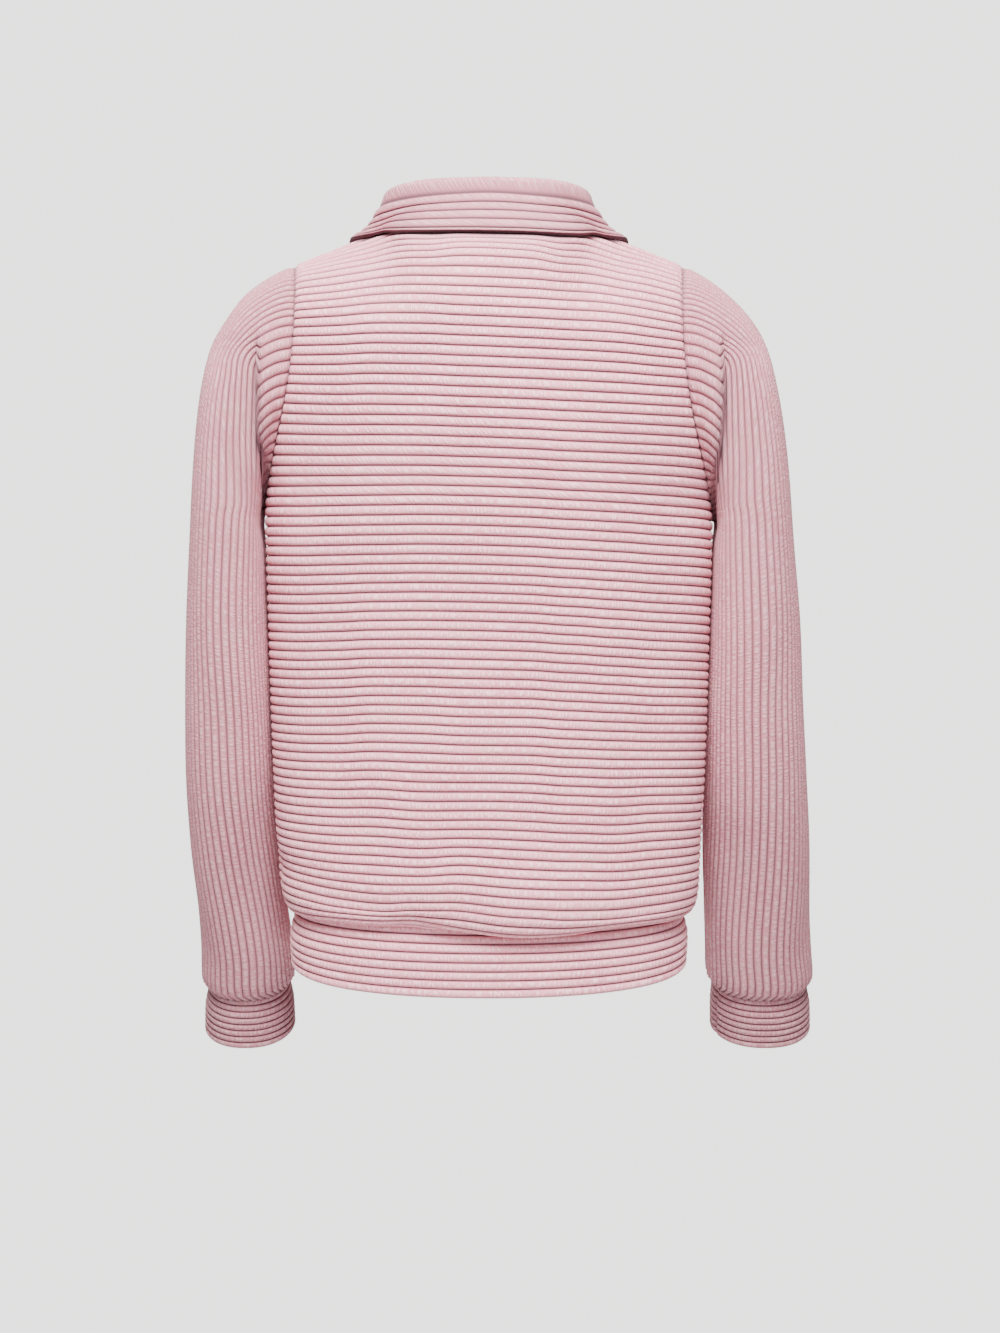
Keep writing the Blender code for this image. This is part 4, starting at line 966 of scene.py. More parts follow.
# The fold beside the armhole: its edge stands out, and past it the cloth drops at once and
# comes back slowly.
def creaseShift(side, around, ring, points):
    form = creaseForm
    drop = -points[..., 2]
    edge = readColumn(armCrease, "x" + handOf(side), drop)
    off = np.abs(points[..., 0]) - edge
    fall = (1 / (1 + np.exp(-(off - form["fallAt"]) / form["fallWidth"]))
            * np.exp(-(np.clip(off, 0, 1) / form["fallReach"]) ** form["fallCurve"]))
    stand = bell(off - form["standAt"], form["standWidth"])
    move = readColumn(armCrease, "rise", drop) * stand - readColumn(armCrease, "depth", drop) * fall
    swing = np.sin(around * 2 * math.pi)
    move = (move * easeOff(1 - np.abs(swing) / form["swing"])
            * np.clip(ring / form["rings"], 0, 1) * np.sign(swing))
    return pointsOf(0.0, move, 0.0)


# The sleeve starts at the armhole and eases into its rings, and each fold presses it towards
# its middle.
def sleevePoint(side, around, ring):
    around, ring = np.broadcast_arrays(np.asarray(around, float), np.asarray(ring, float))
    fade = easeOff(ring / sleeveForm["joinRings"])[..., None]
    points = ringPoint(side, around, ring)
    shift = armholePoint(side, around) - ringPoint(side, around, np.zeros_like(ring))
    points = points + shift * fade
    middle = ringPoint(side, np.zeros_like(around), ring)
    middle = (middle + ringPoint(side, np.full_like(around, 0.5), ring)) / 2
    inward = unitOf(middle - points)
    for ringAt, place, slant, length, width, depth in sleeveFolds["rows"]:
        off = np.mod(around - place - slant * (ring - ringAt) + 0.5, 1.0) - 0.5
        reach = np.exp(-((ring - ringAt) / length) ** 2 - (off / width) ** 2)
        reach = reach * np.clip(ring / sleeveForm["foldsFrom"], 0, 1)
        points = points + inward * (depth * reach)[..., None]
    return points + creaseShift(side, around, ring, points)


# Rows down the sleeve, closer together beside the armhole, and each one's length from it,
# measured down the back.
def sleeveRings(side):
    fine = np.linspace(0, sleeveLevels["rows"][-1][0], sleeveForm["fineRows"])
    line = sleevePoint(side, np.full_like(fine, sleeveForm["fineLine"]), fine)
    length = np.concatenate([[0], np.cumsum(np.linalg.norm(np.diff(line, axis=0), axis=-1))])
    rows = sleeveForm["rows"] // 2
    near = np.linspace(0, sleeveForm["nearLength"], rows + 1)
    far = np.linspace(sleeveForm["nearLength"], length[-1], rows + 1)[1:]
    runs = np.concatenate([near, far])
    return np.interp(runs, length, fine), runs


# Where each point lies across the sleeve's ribs, in metres from its outer line. Beside the
# armhole that is the length along its ring. Past the fold the ribs hang straight down, so it
# is the length round a level oval from the outer line to the point's own direction.
def ribPlace(side, points, length):
    form = hangForm
    hand = handOf(side)
    drop = -points[..., 2]
    rows = sleeveLevels["rows"]
    names = sleeveLevels["columns"]

    # straight lines between the table's rows, at each drop
    def atDrop(name, heights):
        return np.interp(drop, [-row[names.index(heights)] for row in rows],
                         [row[names.index(name)] for row in rows])

    # 1 above a drop, easing off to 0 over a length
    def above(key):
        start, over = form[key]
        return easeOff((drop - start) / over)

    outX = atDrop("out" + hand, "outZ")
    inX = atDrop("in" + hand, "inZ")
    edge = readColumn(armCrease, "x" + hand, drop)
    inX = inX + (np.minimum(inX, edge) - inX) * above("edgeDrop")
    middleY = atDrop("middleY", "outZ")
    depth = atDrop("depth", "outZ")
    half = np.maximum((outX - inX) / 2, form["leastHalf"])
    c = (np.abs(points[..., 0]) - (outX + inX) / 2) / half
    turn = np.arctan2(np.abs(points[..., 1] - middleY) / depth, c)
    angles = np.linspace(0, math.pi, form["ovalSteps"])
    wideHalf, deepHalf = form["oval"]
    speed = np.hypot(wideHalf * np.sin(angles), deepHalf * np.cos(angles))
    oval = np.concatenate([[0], np.cumsum((speed[1:] + speed[:-1]) / 2)]) * (angles[1] - angles[0])
    level = np.interp(turn, angles, oval)
    share = easeOff(1 - (np.abs(points[..., 0]) - edge) / form["share"])
    topDrop, topOver = form["topDrop"]
    share = share * easeOff(1 - (drop - topDrop) / topOver) * above("lowDrop")
    wide = np.minimum(length, form["wideFrom"] + (length - form["wideFrom"]) * form["wideShare"])
    inside = length + (wide - length) * above("wideDrop")
    return np.maximum.accumulate(inside * (1 - share) + level * share, axis=1)


# The sleeve's painted shade: the deepest of that in the crease, on the armhole's seam and on
# the cuff's seam, and a slow darkening towards the cuff.
def sleeveShade(side, points, along, toCuff):
    form = sleeveForm
    drop = -points[..., 2]
    off = np.abs(points[..., 0]) - readColumn(armCrease, "x" + handOf(side), drop)
    folded = (bell(off - form["creaseAt"], form["creaseWidth"])
              * readColumn(armCrease, "depth", drop) / form["creaseDeep"])
    shade = np.maximum(form["creaseShade"] * folded * (along < form["creaseRun"]),
                       cloth["seamShade"] * bell(along, cloth["shadeWidth"]))
    shade = np.maximum(shade, form["cuffShade"] * bell(toCuff, form["cuffShadeWidth"]))
    return np.maximum(shade, form["lowShade"] * easeOff(toCuff / form["lowRun"]))


# Where round each ring the ribs lie, and how far each is from the underarm seam. Each rib keeps
# its distance from the sleeve's outer line, so the ribs run out at that seam where the sleeve
# narrows.
def ribsRound(side, rings):
    form = sleeveForm
    samples = np.linspace(0, 0.5, form["samples"])
    back, front = [sleevePoint(side, *np.meshgrid(around, rings))
                   for around in (samples, 1 - samples)]
    backLength = ribPlace(side, back, rowLengths(back))
    frontLength = ribPlace(side, front, rowLengths(front))
    longest = max(backLength[:, -1].max(), frontLength[:, -1].max())
    most = int(math.ceil(longest / form["pitch"])) + 1
    phases = ribPlaces(2 * most, form["stepsPerRib"], -most)
    distance = phases * form["pitch"]
    onBack = np.array([np.interp(distance, length, samples) for length in backLength])
    onFront = np.array([np.interp(-distance, length, samples) for length in frontLength])
    behind = distance[None, :] >= 0
    limit = np.where(behind, backLength[:, -1:], frontLength[:, -1:])
    return phases, np.where(behind, onBack, 1 - onFront), limit - np.abs(distance)[None, :]


# The direction of the cloth at each place, read between the points of a grid at even places.
def sleeveAway(side, rings, around):
    count = sleeveForm["evenPlaces"]
    even = sleevePoint(side, *np.meshgrid(np.linspace(0, 1, count + 1)[:-1], rings))
    evenAway = tubeNormals(even)
    evenAway = np.concatenate([evenAway, evenAway[:, :1]], axis=1)
    index = around * count
    low = np.clip(np.floor(index).astype(int), 0, count - 1)
    part = (index - low)[..., None]
    row = np.arange(len(rings))[:, None]
    return unitOf(evenAway[row, low] * (1 - part) + evenAway[row, low + 1] * part)


# How far apart the ribs lie as a share of their pitch, at most 1, averaged over a rib each way.
def looseRibs(points, distance):
    form = sleeveForm
    spacing = np.linalg.norm(np.gradient(points, axis=1), axis=-1)
    loose = np.clip(spacing / np.gradient(distance)[None, :], 0, form["widest"])
    reach = form["stepsPerRib"]
    total = np.cumsum(np.pad(loose, ((0, 0), (reach + 1, reach)), mode="edge"), axis=1)
    loose = (total[:, 2 * reach + 1:] - total[:, :-2 * reach - 1]) / (2 * reach + 1)
    return np.clip(loose, 0, 1)


# The sleeve's plain inside, from the underarm seam round to it again, with the rows it keeps.
def sleeveLining(side, rings, runs):
    form = sleeveForm
    places = np.linspace(0.5, 1.5, form["innerColumns"] + 1)
    keepRows = np.linspace(0, len(rings) - 1, form["innerRows"] + 1)
    keepRows = np.unique(keepRows.round().astype(int))
    around, ring = np.meshgrid(np.mod(places[:-1], 1.0), rings[keepRows])
    points = tuckedIn(sleevePoint(side, around, ring), runs[keepRows])
    return places, keepRows, points - tubeNormals(points) * cloth["wall"]


# A sleeve. A column that reaches past the underarm seam is the seam itself, one point a row,
# and a rib that is squeezed between its neighbours stands up less.
def makeSleeve(side, name, node):
    form = sleeveForm
    rings, runs = sleeveRings(side)
    rows = len(rings)
    phases, around, toSeam = ribsRound(side, rings)
    clamped = toSeam <= form["seamClose"]
    around = np.where(clamped, 0.5, around)
    points = tuckedIn(sleevePoint(side, around, np.broadcast_to(rings[:, None], around.shape)), runs)
    along = np.broadcast_to(runs[:, None], around.shape)
    toCuff = runs[-1] - along
    seam = bell(np.clip(toSeam, 0, None), cloth["seamWidth"])
    armSeam = bell(along, cloth["seamWidth"])
    cuffSeam = bell(toCuff, cloth["seamWidth"])
    share = form["seamShare"]
    height = cloth["ribHeight"] * ribSection(phases)[None, :] * (1 - seam) * (1 - share * armSeam)
    height = height * looseRibs(points, phases * form["pitch"]) ** form["squeeze"]
    height = height - cloth["seamPull"] * (share * seam + armSeam + form["cuffPull"] * cuffSeam)
    outer = points + sleeveAway(side, rings, around) * height[..., None]
    spots = np.stack([along, np.broadcast_to(phases[None, :], along.shape)], -1)
    shade = sleeveShade(side, points, along, toCuff)
    free = ~clamped
    ids = np.where(free, rows + np.cumsum(free.reshape(-1)).reshape(free.shape) - 1,
                   np.arange(rows)[:, None])
    outerPoints, outerSpots, outerShade = [
        np.concatenate([grid[:, -1], grid[free]]) for grid in (outer, spots, shade)]
    innerAt, keepRows, lining = sleeveLining(side, rings, runs)
    size = lining.shape[0] * lining.shape[1]
    innerIds = len(outerPoints) + np.arange(size).reshape(lining.shape[:2])
    innerIds = np.concatenate([innerIds, innerIds[:, :1]], axis=1)
    faces = gridFaces(ids) + gridFaces(innerIds)
    order = np.where(phases >= 0, 1.0, 0.0)
    for row in (0, -1):
        inFree = np.flatnonzero(free[row])
        used = slice(inFree[0] - 1, inFree[-1] + 2)
        at = (around[row] + order)[used]
        at[0], at[-1] = 0.5, 1.5
        faces.append(rimFaces(ids[row][used], at, innerIds[row], innerAt))
    innerSpots = np.stack([np.broadcast_to(along[keepRows, :1], lining.shape[:2]),
                           np.full(lining.shape[:2], 0.5)], -1)
    piece = clothMesh(name, np.concatenate([outerPoints, lining.reshape(-1, 3)]),
                      [f for f in faces if len(f)],
                      np.concatenate([outerSpots, innerSpots.reshape(-1, 2)]), shadedSleeveKnit,
                      shade=np.concatenate([outerShade, np.zeros(size)]))
    settle(piece, node)


makeSleeve(1, "sleeveLeft", "sleeve_left")
makeSleeve(-1, "sleeveRight", "sleeve_right")
print("sleeves made")


# Cuffs.

cuffForm = {
    "ribs": 9,
    "rowsPerRib": 12,
    "columns": 112,
    "tip": 0.30,             # how far the front of the cuff hangs lower
    "gap": 0.0007,
    "ribShare": 0.8,         # of the body's rib height
    "seamLeft": 0.62,        # where round the cuff its seam is
    "seamRight": 0.44,
    "seamColumns": 1.1,      # how wide the seam is
    "seamFlat": 0.7,
    "seamDeep": 0.0006,
}
cuffLevels = {"columns": ("rib", "outLeft", "outRight", "inLeft", "inRight", "z", "middleY", "depth"),
              "rows": (
    (0, 0.2381, 0.2691, 0.1729, 0.1926, -0.6235, -0.0882, 0.0427),
    (2, 0.2393, 0.2703, 0.1717, 0.1914, -0.6340, -0.0915, 0.0439),
    (5, 0.2425, 0.2735, 0.1690, 0.1905, -0.6500, -0.0965, 0.0452),
    (9, 0.2435, 0.2745, 0.1685, 0.1910, -0.6710, -0.1030, 0.0450),
)}


# An oval like the sleeve's, tipped forward.
def cuffPoint(side, around, rib):
    outX = readColumn(cuffLevels, "out" + handOf(side), rib) - cuffForm["gap"]
    inX = readColumn(cuffLevels, "in" + handOf(side), rib) + cuffForm["gap"]
    depth = readColumn(cuffLevels, "depth", rib) - cuffForm["gap"]
    x, y, _, s = armOval(around, outX, inX, readColumn(cuffLevels, "middleY", rib), depth)
    return pointsOf(x * side, y, readColumn(cuffLevels, "z", rib) - cuffForm["tip"] * depth * s)


# A cuff, with one seam where its ends meet.
def makeCuff(side, name, node):
    form = cuffForm
    rows = ribPlaces(form["ribs"], form["rowsPerRib"])
    turns = np.arange(form["columns"]) / form["columns"]
    turn, rib = np.meshgrid(turns, rows)
    points = cuffPoint(side, turn, rib)
    off = np.abs(np.mod(turn - form["seam" + handOf(side)] + 0.5, 1.0) - 0.5)
    seam = bell(off * form["columns"], form["seamColumns"])
    height = (cloth["ribHeight"] * form["ribShare"] * ribSection(rib) * (1 - form["seamFlat"] * seam)
              - form["seamDeep"] * seam)
    piece = bandShell(name, points, tubeNormals(points), height, turns, rows, form["rowsPerRib"],
                      shadedCuffKnit, 1.0)
    settle(piece, node)


makeCuff(1, "cuffLeft", "cuff_left")
makeCuff(-1, "cuffRight", "cuff_right")
print("cuffs made")


# The collar.

collarForm = {
    "wall": 0.0025,
    "foldRadius": 0.0022,
    "lift": 0.0047,
    "stations": 160,
    "standRibs": 5,
    "grooves": (0.180, 0.365, 0.555, 0.760, 0.950),   # shares of the way from the fold down
    "bow": 0.22,             # how much lower the grooves lie beside the middle
    "bowFrom": 0.5,
    "shift": 0.0014,         # the fold sits a little to the left
    "shiftAt": (0.9, 0.5),   # station, and how far to each side of it
    "rowsPerRib": 12,
    "out": 0.86,             # how the cloth leans out of the neck seam
    "up": 0.5,               # and up
    "seamGap": 0.0007,
    "evenEdge": 0.09,        # stations over which the free edge is evened out
    "evenFold": 0.10,
    "turnFrom": 0.7,         # the edge's direction turns to the front's from here
    "turnOver": 0.6,
    "standPull": 0.35,       # of the stand's curve, as a share of its height
    "shoulderAt": (0.95, 0.3),
    "frontFrom": 1.25,       # the fall hugs the back up to this station
    "frontOver": 0.6,
    # shares of the fall's height: how its curve leaves the fold, then how it meets the edge
    "leaveDown": 0.40,
    "leaveFront": 0.25,
    "leaveAway": 0.12,
    "leaveOut": 0.17,
    "meetUp": 0.04,
    "meetShoulder": 0.11,
    "meetAway": 0.30,
    "meetOut": 0.37,
    "ribShare": 0.85,        # of the body's rib height
    "lipRib": 0.6,           # the last rib is this much of the others
    "foldRib": 0.45,         # and so is the rib on the fold
    # painted shade in the lip's groove, at the lip's edge and in the fall's grooves:
    "grooveWidth": 0.10,     # of a rib, for the painted dark lines of shade
    "lipShade": 0.85,
    "edgeWidth": 0.12,
    "collarGrooveShade": 0.30,
}
levelShares = np.array([1.0, 1.0, 0.0])       # keeps x and y
upward = np.array([0.0, 0.0, 1.0])


# The way the cloth lies at the neck seam: out of the neck and up, at length 1.
def neckDirection(points):
    out = unitOf(points * levelShares)
    return unitOf(out * collarForm["out"] + upward * collarForm["up"])


# The neck seam from the middle of the back (0) by the shoulder (1) to the front (2).
def neckline(station):
    side = np.where(station < 0, -1.0, 1.0)
    far = np.abs(station)
    inNeck = np.clip(far, 0, 1) * neckShare() * 0.9999
    behind = topEdge(backLevels, inNeck) * pointsOf(side, 1.0, 1.0)
    rib = panelForm["frontNeckRib"] * np.sin(np.clip(far - 1, 0, 1) * math.pi / 2)
    before = panelPoint(frontLevels, side * frontStart(rib), rib)
    return np.where((far <= 1)[..., None], behind, before)


# The direction square to a panel, from four near points.
def panelAway(levels, across, rib):
    sideStep, downStep = 0.002, 0.05
    along = (panelPoint(levels, np.minimum(across + sideStep, 1), rib)
             - panelPoint(levels, np.maximum(across - sideStep, -1), rib))
    down = (panelPoint(levels, across, rib + downStep)
            - panelPoint(levels, across, np.maximum(rib - downStep, 0)))
    return unitOf(np.cross(along, down)) * (1 if levels is backLevels else -1)


# Evens out a line of points: each becomes the bell-weighted mean of those within a few
# stations of it.
def evenedLine(points, stations, width):
    weights = np.exp(-((stations[:, None] - stations[None, :]) / width) ** 2)
    weights *= np.gradient(stations)[None, :]
    evened = weights / weights.sum(axis=1, keepdims=True) @ points
    ends = easeOff(1 - (2 - np.abs(stations)) / (2 * width))[:, None]
    return evened * ends + points * (1 - ends)


# The free edge lies over the panels, lifted clear of them. Over the shoulder seam its
# direction turns from the back's to the front's.
def collarEdge(stations):
    far = np.abs(stations)
    side = np.where(stations < 0, -1.0, 1.0)
    across = readColumn(collarLine, "edgeAcross", far) * side
    rib = readColumn(collarLine, "edgeRib", far)
    points = np.where((far <= 1)[..., None], panelPoint(backLevels, across, rib),
                      panelPoint(frontLevels, across, rib))
    share = easeOff((far - collarForm["turnFrom"]) / collarForm["turnOver"])[..., None]
    away = unitOf(panelAway(backLevels, across, rib) * share
                  + panelAway(frontLevels, across, rib) * (1 - share))
    return evenedLine(points + away * collarForm["lift"], stations, collarForm["evenEdge"])


# A cubic Bezier curve: its points weighted by (1-t)^3, 3t(1-t)^2, 3tt(1-t) and t^3.
def bezier(a, b, c, d, t):
    t = t[..., None]
    return a * (1 - t) ** 3 + 3 * b * t * (1 - t) ** 2 + 3 * c * t * t * (1 - t) + d * t ** 3


# height 0 is the neck seam, 1 to 2 the half circle of the fold, and 3 the free edge. The stand
# and the fall are each a Bezier curve.
def collarGrid(stations, heights):
    form = collarForm
    radius = form["foldRadius"]
    far = np.abs(stations)
    side = np.where(stations < 0, -1.0, 1.0)
    seam = neckline(stations)
    lean = neckDirection(seam)
    out = unitOf(seam * levelShares)
    up = upward
    # the doubled cloth's middle stands half a wall and a gap off the seam
    seam = (seam + (up * form["out"] - out * form["up"]) * form["seamGap"]
            - lean * form["wall"] * 0.5)
    shiftAt, shiftWidth = form["shiftAt"]
    shift = form["shift"] * bell(far - shiftAt, shiftWidth)
    fold = pointsOf(readColumn(collarLine, "foldX", far) * side + shift,
                    readColumn(collarLine, "foldY", far), readColumn(collarLine, "foldZ", far) - radius)
    fold = evenedLine(fold, stations, form["evenFold"])
    edge = collarEdge(stations)
    out = unitOf(evenedLine(out, stations, form["evenFold"]))
    inside = fold - out * radius
    outside = fold + out * radius
    rise = np.linalg.norm(inside - seam, axis=-1, keepdims=True)
    drop = np.linalg.norm(edge - outside, axis=-1, keepdims=True)
    away = unitOf(edge - outside)
    t = heights[:, None] + 0 * stations[None, :]
    pull = form["standPull"]
    stand = bezier(seam, seam + up * rise * pull, inside - up * rise * pull, inside,
                   np.clip(t, 0, 1))
    turn = np.clip(t - 1, 0, 1)[..., None] * math.pi
    over = fold - out * np.cos(turn) * radius + up * np.sin(turn) * radius
    shoulderAt, shoulderWidth = form["shoulderAt"]
    shoulder = bell(far - shoulderAt, shoulderWidth)[:, None]
    front = easeOff((form["frontFrom"] - far) / form["frontOver"])[:, None] * (1 - shoulder)
    start = (outside - up * drop * (form["leaveDown"] - form["leaveFront"] * front)
             + (away * form["leaveAway"] * front + out * form["leaveOut"] * shoulder) * drop)
    last = edge + (up * (form["meetUp"] + form["meetShoulder"] * shoulder)
                   - away * form["meetAway"] * (1 - shoulder)
                   - out * form["meetOut"] * shoulder) * drop
    down = np.clip(t - 2, 0, 1)
    down = (down + form["bow"] * down * (1 - down) * np.clip(far / form["bowFrom"], 0, 1) ** 2
            * (far < 2))
    fall = bezier(outside, start, last, edge, down)
    points = np.where((t <= 1)[..., None], stand, over)
    return np.where((t > 2)[..., None], fall, points)


# The collar. Its places down are spaced inside each rib as on the body.
def makeCollar():
    form = collarForm
    # grooves: evenly up the stand, over the fold, then down the fall, with a narrow lip last
    stand = np.arange(form["standRibs"] + 1) / form["standRibs"]
    grooves = np.concatenate([stand, 2 + np.array(form["grooves"]), [3.0]])
    steps = form["rowsPerRib"]
    ribs = len(grooves) - 1
    heights = grooves[:-1, None] + np.diff(grooves)[:, None] * insideRib(steps)[None, :]
    heights = np.append(heights.reshape(-1), 3.0)
    phases = ribPlaces(ribs, steps)
    stations = np.sin(np.linspace(-1, 1, form["stations"] + 1)) / math.sin(1.0) * 2
    points = collarGrid(stations, heights)
    away = gridNormals(points)
    away *= np.sign(np.sum(away[-1, :, 1] * points[-1, :, 1]))
    phase = np.broadcast_to(phases[:, None], points.shape[:2])
    over = np.floor(phase) == form["standRibs"]
    tall = np.where(phase > ribs - 1, form["lipRib"], 1.0)
    tall = np.where(over, form["foldRib"], tall)
    # painted shade: a dark line in the lip's groove, painted shadow at the lip's edge, and lighter
    # painted shade in each groove of the fall
    lip = form["lipShade"] * bell(phase - ribs + 1, form["grooveWidth"])
    shade = np.maximum(lip, easeOff((ribs - phase) / form["edgeWidth"])) * (phase > ribs - 2)
    grooveShadeLine = bell(phase - np.round(phase), form["grooveWidth"]) * (phase > form["standRibs"] + 0.5)
    shade = np.maximum(shade, form["collarGrooveShade"] * grooveShadeLine)
    height = form["wall"] / 2 + cloth["ribHeight"] * form["ribShare"] * ribSection(phase) * tall
    outer = points + away * height[..., None]
    # the fold's own rib is seen only below its crest, so its painted-shaded lower half starts late
    turned = np.where(over, form["standRibs"] + (phase - form["standRibs"]) ** 3, phase)
    spots = np.stack([rowLengths(points), turned], -1)
    keepRows = np.arange(0, len(heights), steps // 2)
    keep = np.ix_(keepRows, np.arange(0, len(stations), 2))
    lining = points[keep] - away[keep] * form["wall"] / 2
    piece = shell("turnedCollar", (outer, stations, heights),
                  (lining, stations[::2], heights[keepRows]), (spots, spots[keep]), shadedCollarKnit,
                  shade=shade)
    settle(piece, "collar")


makeCollar()
print("collar made")


# The zip.

zipForm = {
    "tapeWall": 0.0008,
    "tapeDepth": 0.0027,     # of the tape's face under the front's
    "rise": 0.0020,          # of the teeth over the tape
    "toothStep": 0.00135,
    "sliderRib": 12.2,
    "openRibs": 0.05,        # the chain parts this far above the slider
    "firstTooth": 0.3,       # and its first tooth stands this far under it, in ribs
    "endRib": 31.4,
    "tooth": (0.0026, 0.00080, 0.0018),
    "toothBevel": 0.00022,
    "bite": 0.00035,         # how far a tooth reaches past the middle
    "across": (0.0003, 0.0012, 0.0022, 0.0035, 0.0050, 0.0070, 0.0095, 0.0120, 0.0140, 0.0150),
    "tapeRows": 150,
    "innerStep": 6,
    "topRibs": 0.25,         # the tape starts this far under the neckline
    "endRibs": 1.5,          # and ends this far past the opening
    "parted": (0.0021, 0.0018),   # above the slider, places nearer than the first move to the second
    "roll": (0.00022, 0.0042, 0.0009),   # the woven edge by the teeth: height, place and width
}


# A point x beside the front's centre line at a rib, raised from the front's face, with the
# outward and downward directions there.
def zipPoint(x, rib, height):
    x, rib = np.broadcast_arrays(np.asarray(x, float), np.asarray(rib, float))
    turn = np.radians(readColumn(frontLevels, "turn", rib))
    edge = readColumn(frontLevels, "edgeX", rib)
    across = np.arcsin(x * np.sin(turn) / edge) / turn
    out = panelAway(frontLevels, 0.0 * x, rib)
    out[..., 0] = 0
    out = unitOf(out)
    points = panelPoint(frontLevels, across, rib)
    points[..., 0] = x
    down = unitOf(np.cross(out, pointsOf(1.0 + 0 * x, 0.0, 0.0)))
    down *= -np.sign(down[..., 2:])
    return points + out * height, out, down


# Half the zip: its tape, rolled a little beside the teeth, and its teeth.
def makeTape(side, name, node):
    form = zipForm
    ribs = np.linspace(panelForm["frontNeckRib"] + form["topRibs"],
                       panelForm["zipEndRib"] + form["endRibs"], form["tapeRows"])
    xs = np.array(form["across"]) * side
    x, rib = np.meshgrid(xs, ribs)
    nearer, least = form["parted"]
    apart = (rib < form["sliderRib"] - form["openRibs"]) & (np.abs(x) < nearer)
    x = np.where(apart, np.maximum(np.abs(x), least) * side, x)
    face, out, _ = zipPoint(x, rib, -form["tapeDepth"])
    rollHeight, rollAt, rollWidth = form["roll"]
    roll = rollHeight * bell(np.abs(x) - rollAt, rollWidth)
    outer = face + out * roll[..., None]
    step = form["innerStep"]
    inner = face[::step] - out[::step] * form["tapeWall"]
    run = np.concatenate([[0], np.cumsum(np.linalg.norm(np.diff(face[:, 0], axis=0), axis=-1))])
    spots = np.stack([x, np.broadcast_to(run[:, None], x.shape)], -1)
    if side < 0:
        outer, inner, spots, xs = outer[:, ::-1], inner[:, ::-1], spots[:, ::-1], xs[::-1]
    settle(shell(name, (outer, xs, ribs), (inner, xs, ribs[::step]), (spots, spots[::step]),
                 tapeCloth), node)
    settle(makeTeeth(side, name + "Teeth", run, ribs), node)


# Moulded teeth at even steps down the chain, each a small block with its edges taken off. The
# two sides stand half a step apart.
def makeTeeth(side, name, run, ribs):
    form = zipForm
    work = bmesh.new()
    bmesh.ops.create_cube(work, size=1.0)
    bmesh.ops.scale(work, vec=form["tooth"], verts=work.verts)
    bmesh.ops.bevel(work, geom=list(work.edges) + list(work.verts), offset=form["toothBevel"],
                    segments=2, affect="EDGES")
    corners = np.array([vertex.co[:] for vertex in work.verts])
    work.faces.ensure_lookup_table()
    faces = [np.array([[vertex.index for vertex in face.verts] for face in work.faces
                       if len(face.verts) == count]).reshape(-1, count) for count in (3, 4, 8)]
    work.free()
    first = np.interp(form["sliderRib"] + form["firstTooth"], ribs, run)
    last = np.interp(form["endRib"], ribs, run)
    steps = np.arange(first, last, form["toothStep"])
    steps = steps + (0.5 * form["toothStep"] if side > 0 else 0.0)
    rib = np.interp(steps, run, ribs)
    x = side * (form["tooth"][0] / 2 - form["bite"])
    place, out, down = zipPoint(np.full_like(rib, x), rib, -form["tapeDepth"] + form["rise"] / 2)
    points = (place[:, None] + pointsOf(corners[:, 0], 0.0, 0.0)[None]
              + down[:, None] * corners[None, :, 1:2] + out[:, None] * corners[None, :, 2:])
    shift = (np.arange(len(rib)) * len(corners))[:, None, None]
    sets = [(kind[None] + shift).reshape(-1, kind.shape[1]) for kind in faces if len(kind)]
    spots = np.zeros((points.shape[0] * points.shape[1], 2))
    return clothMesh(name, points.reshape(-1, 3), sets, spots, toothPlastic)


tapeLook = {
    "dark": (0.62, 0.26, 0.31),
    "light": (0.76, 0.38, 0.43),
    "threads": 1600.0,       # a metre
    "twill": 1100.0,         # slanting lines a metre
    "depth": 0.0003,
    "share": 0.6,            # of the light colour, and of the bump
}


# Woven tape: fine threads times a slanting weave, both as 0 to 1 zigzags.
def tapeMaterial():
    look = tapeLook
    material, shader, start = newMaterial("pinkTape", {"Roughness": 0.85, "Sheen Weight": 0.1})
    place = start.node("ShaderNodeUVMap", {"uv_map": "cloth"}, {})
    x = start.node("ShaderNodeSeparateXYZ", {}, {0: place}, 0)
    run = start.node("ShaderNodeSeparateXYZ", {}, {0: place}, 1)
    threads = abs((x * look["threads"]).part() * 2.0 - 1.0)
    weave = threads * abs(((run + x) * look["twill"]).part() * 2.0 - 1.0)
    color = (weave * look["share"]).blend(look["dark"], look["light"])
    bump = start.node("ShaderNodeBump", {}, {
        "Strength": look["share"], "Distance": look["depth"], "Height": weave})
    linkLook(material, shader, color, bump)
    return material


tapeCloth = tapeMaterial()
toothPlastic = plainMaterial("toothPlastic", (0.70, 0.33, 0.38), {"Roughness": 0.38})
makeTape(1, "zipTapeLeft", "zip_tape_left")
makeTape(-1, "zipTapeRight", "zip_tape_right")

metalForm = {
    "merge": 1e-6,
    "bevel": 0.00022,
    "segments": 3,
    "flat": 0.02,            # faces that meet at less than this are one, in radians
    "sharp": 0.5,            # edges that turn by more are rounded
    "smooth": 0.6,           # and by less are shaded smooth
    "color": (0.60, 0.59, 0.58),
    "roughness": 0.30,
}
zipMetal = plainMaterial("zipMetal", metalForm["color"],
                         {"Metallic": 1.0, "Roughness": metalForm["roughness"]})


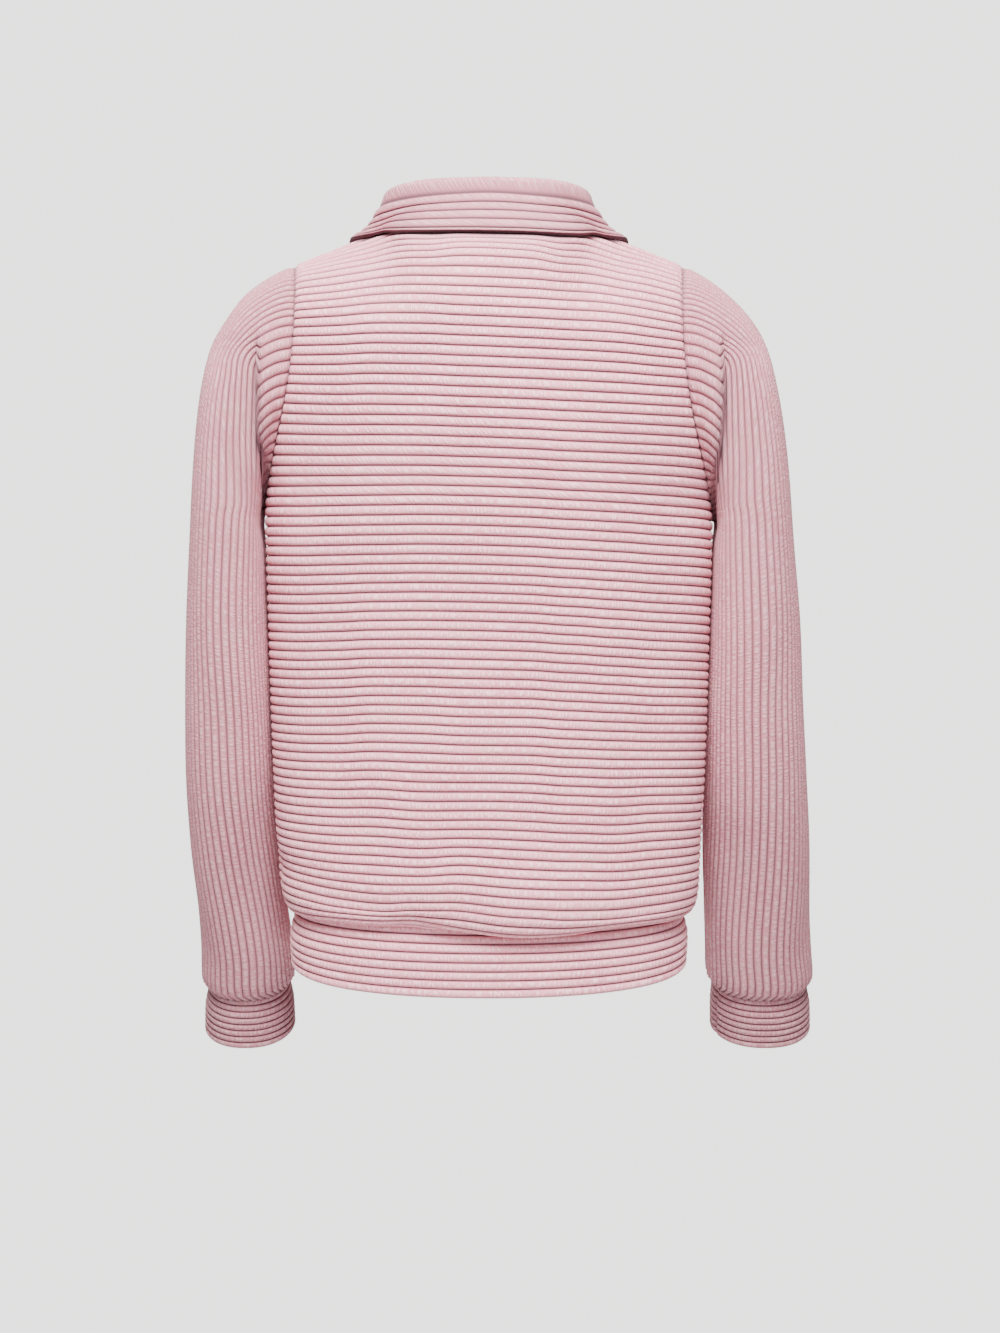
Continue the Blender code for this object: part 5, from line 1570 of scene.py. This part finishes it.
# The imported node's own form with its sharp edges rounded by a bevel.
def softened(name, node, body):
    mesh = bpy.data.objects[node].data.copy()
    work = bmesh.new()
    work.from_mesh(mesh)
    bmesh.ops.remove_doubles(work, verts=work.verts, dist=metalForm["merge"])
    bmesh.ops.dissolve_limit(work, angle_limit=metalForm["flat"], verts=work.verts,
                             edges=work.edges)
    sharp = [edge for edge in work.edges
             if len(edge.link_faces) == 2 and edge.calc_face_angle() > metalForm["sharp"]]
    bmesh.ops.bevel(work, geom=sharp, offset=metalForm["bevel"], segments=metalForm["segments"],
                    affect="EDGES", clamp_overlap=True)
    work.to_mesh(mesh)
    work.free()
    mesh.name = name
    mesh.materials.clear()
    mesh.materials.append(zipMetal)
    mesh.shade_smooth()
    mesh.set_sharp_from_angle(angle=metalForm["smooth"])
    piece = bpy.data.objects.new(name, mesh)
    bpy.context.scene.collection.objects.link(piece)
    settle(piece, node, body)


softened("slider", "zip_slider", "garment")
softened("pullTab", "pull_tab", "pull")
print("zip made")


# Room, lights and camera.

room = {
    "cameraPlace": (-0.00902, 2.0, -0.3623),
    "lens": 65.9,
    "sensor": 36,
    "floorZ": -1.35,
    "floorRadius": 1.4,
    "paint": (0.80, 0.81, 0.79),
    "wallGlow": 3.2,         # the pale wall as the camera sees it
    "roomGlow": 0.32,        # and as it lights the cloth
    "lampTarget": (0, 0, -0.33),
    "lamps": (               # name, place, size and power
        ("overhead", (0.10, 1.65, 1.45), (1.4, 0.8), 240),
        ("behindCamera", (-0.4, 3.0, 0.7), (2.4, 1.6), 60),
        ("frontSide", (0.7, -2.6, 1.3), (2.2, 1.6), 150),
    ),
}


# A round floor far under the garment.
def makeFloor(material):
    angles = np.linspace(0, 2 * math.pi, 97)[:-1]
    rim = pointsOf(np.cos(angles), np.sin(angles), 0.0) * room["floorRadius"]
    rim[:, 2] = room["floorZ"]
    mesh = bpy.data.meshes.new("floor")
    mesh.from_pydata([tuple(point) for point in rim], [], [tuple(range(len(rim)))])
    mesh.materials.append(material)
    floor = bpy.data.objects.new("floor", mesh)
    bpy.context.scene.collection.objects.link(floor)


# A rectangular lamp turned so that its -Z axis runs from its place to the target.
def addArea(name, place, size, power):
    data = bpy.data.lights.new(name, "AREA")
    data.shape = "RECTANGLE"
    data.size, data.size_y = size
    data.energy = power
    lamp = bpy.data.objects.new(name, data)
    lamp.location = place
    direction = np.array(room["lampTarget"]) - np.array(place)
    lamp.rotation_mode = "QUATERNION"
    lamp.rotation_quaternion = Vector(direction).to_track_quat("-Z", "Y")
    bpy.context.scene.collection.objects.link(lamp)


# Floor, lamps and a pale world that glows more for the camera than on the cloth.
def makeRoom():
    makeFloor(plainMaterial("palePaint", room["paint"], {"Roughness": 0.9}))
    world = bpy.data.worlds.new("studio")
    bpy.context.scene.world = world
    world.use_nodes = True
    tree = world.node_tree
    sky = tree.nodes["Background"]
    seen = tree.nodes.new("ShaderNodeLightPath").outputs["Is Camera Ray"]
    strength = Signal(tree, seen) * (room["wallGlow"] - room["roomGlow"]) + room["roomGlow"]
    tree.links.new(strength.socket, sky.inputs["Strength"])
    sky.inputs["Color"].default_value = (*room["paint"], 1.0)
    for lamp in room["lamps"]:
        addArea(*lamp)


# The camera, level and looking along -Y at the garment's back.
def makeCamera():
    data = bpy.data.cameras.new("camera")
    data.sensor_fit = "VERTICAL"
    data.sensor_height = room["sensor"]
    data.lens = room["lens"]
    camera = bpy.data.objects.new("camera", data)
    camera.location = room["cameraPlace"]
    camera.rotation_euler = (math.pi / 2, 0, math.pi)
    bpy.context.scene.collection.objects.link(camera)
    bpy.context.scene.camera = camera


makeRoom()
makeCamera()
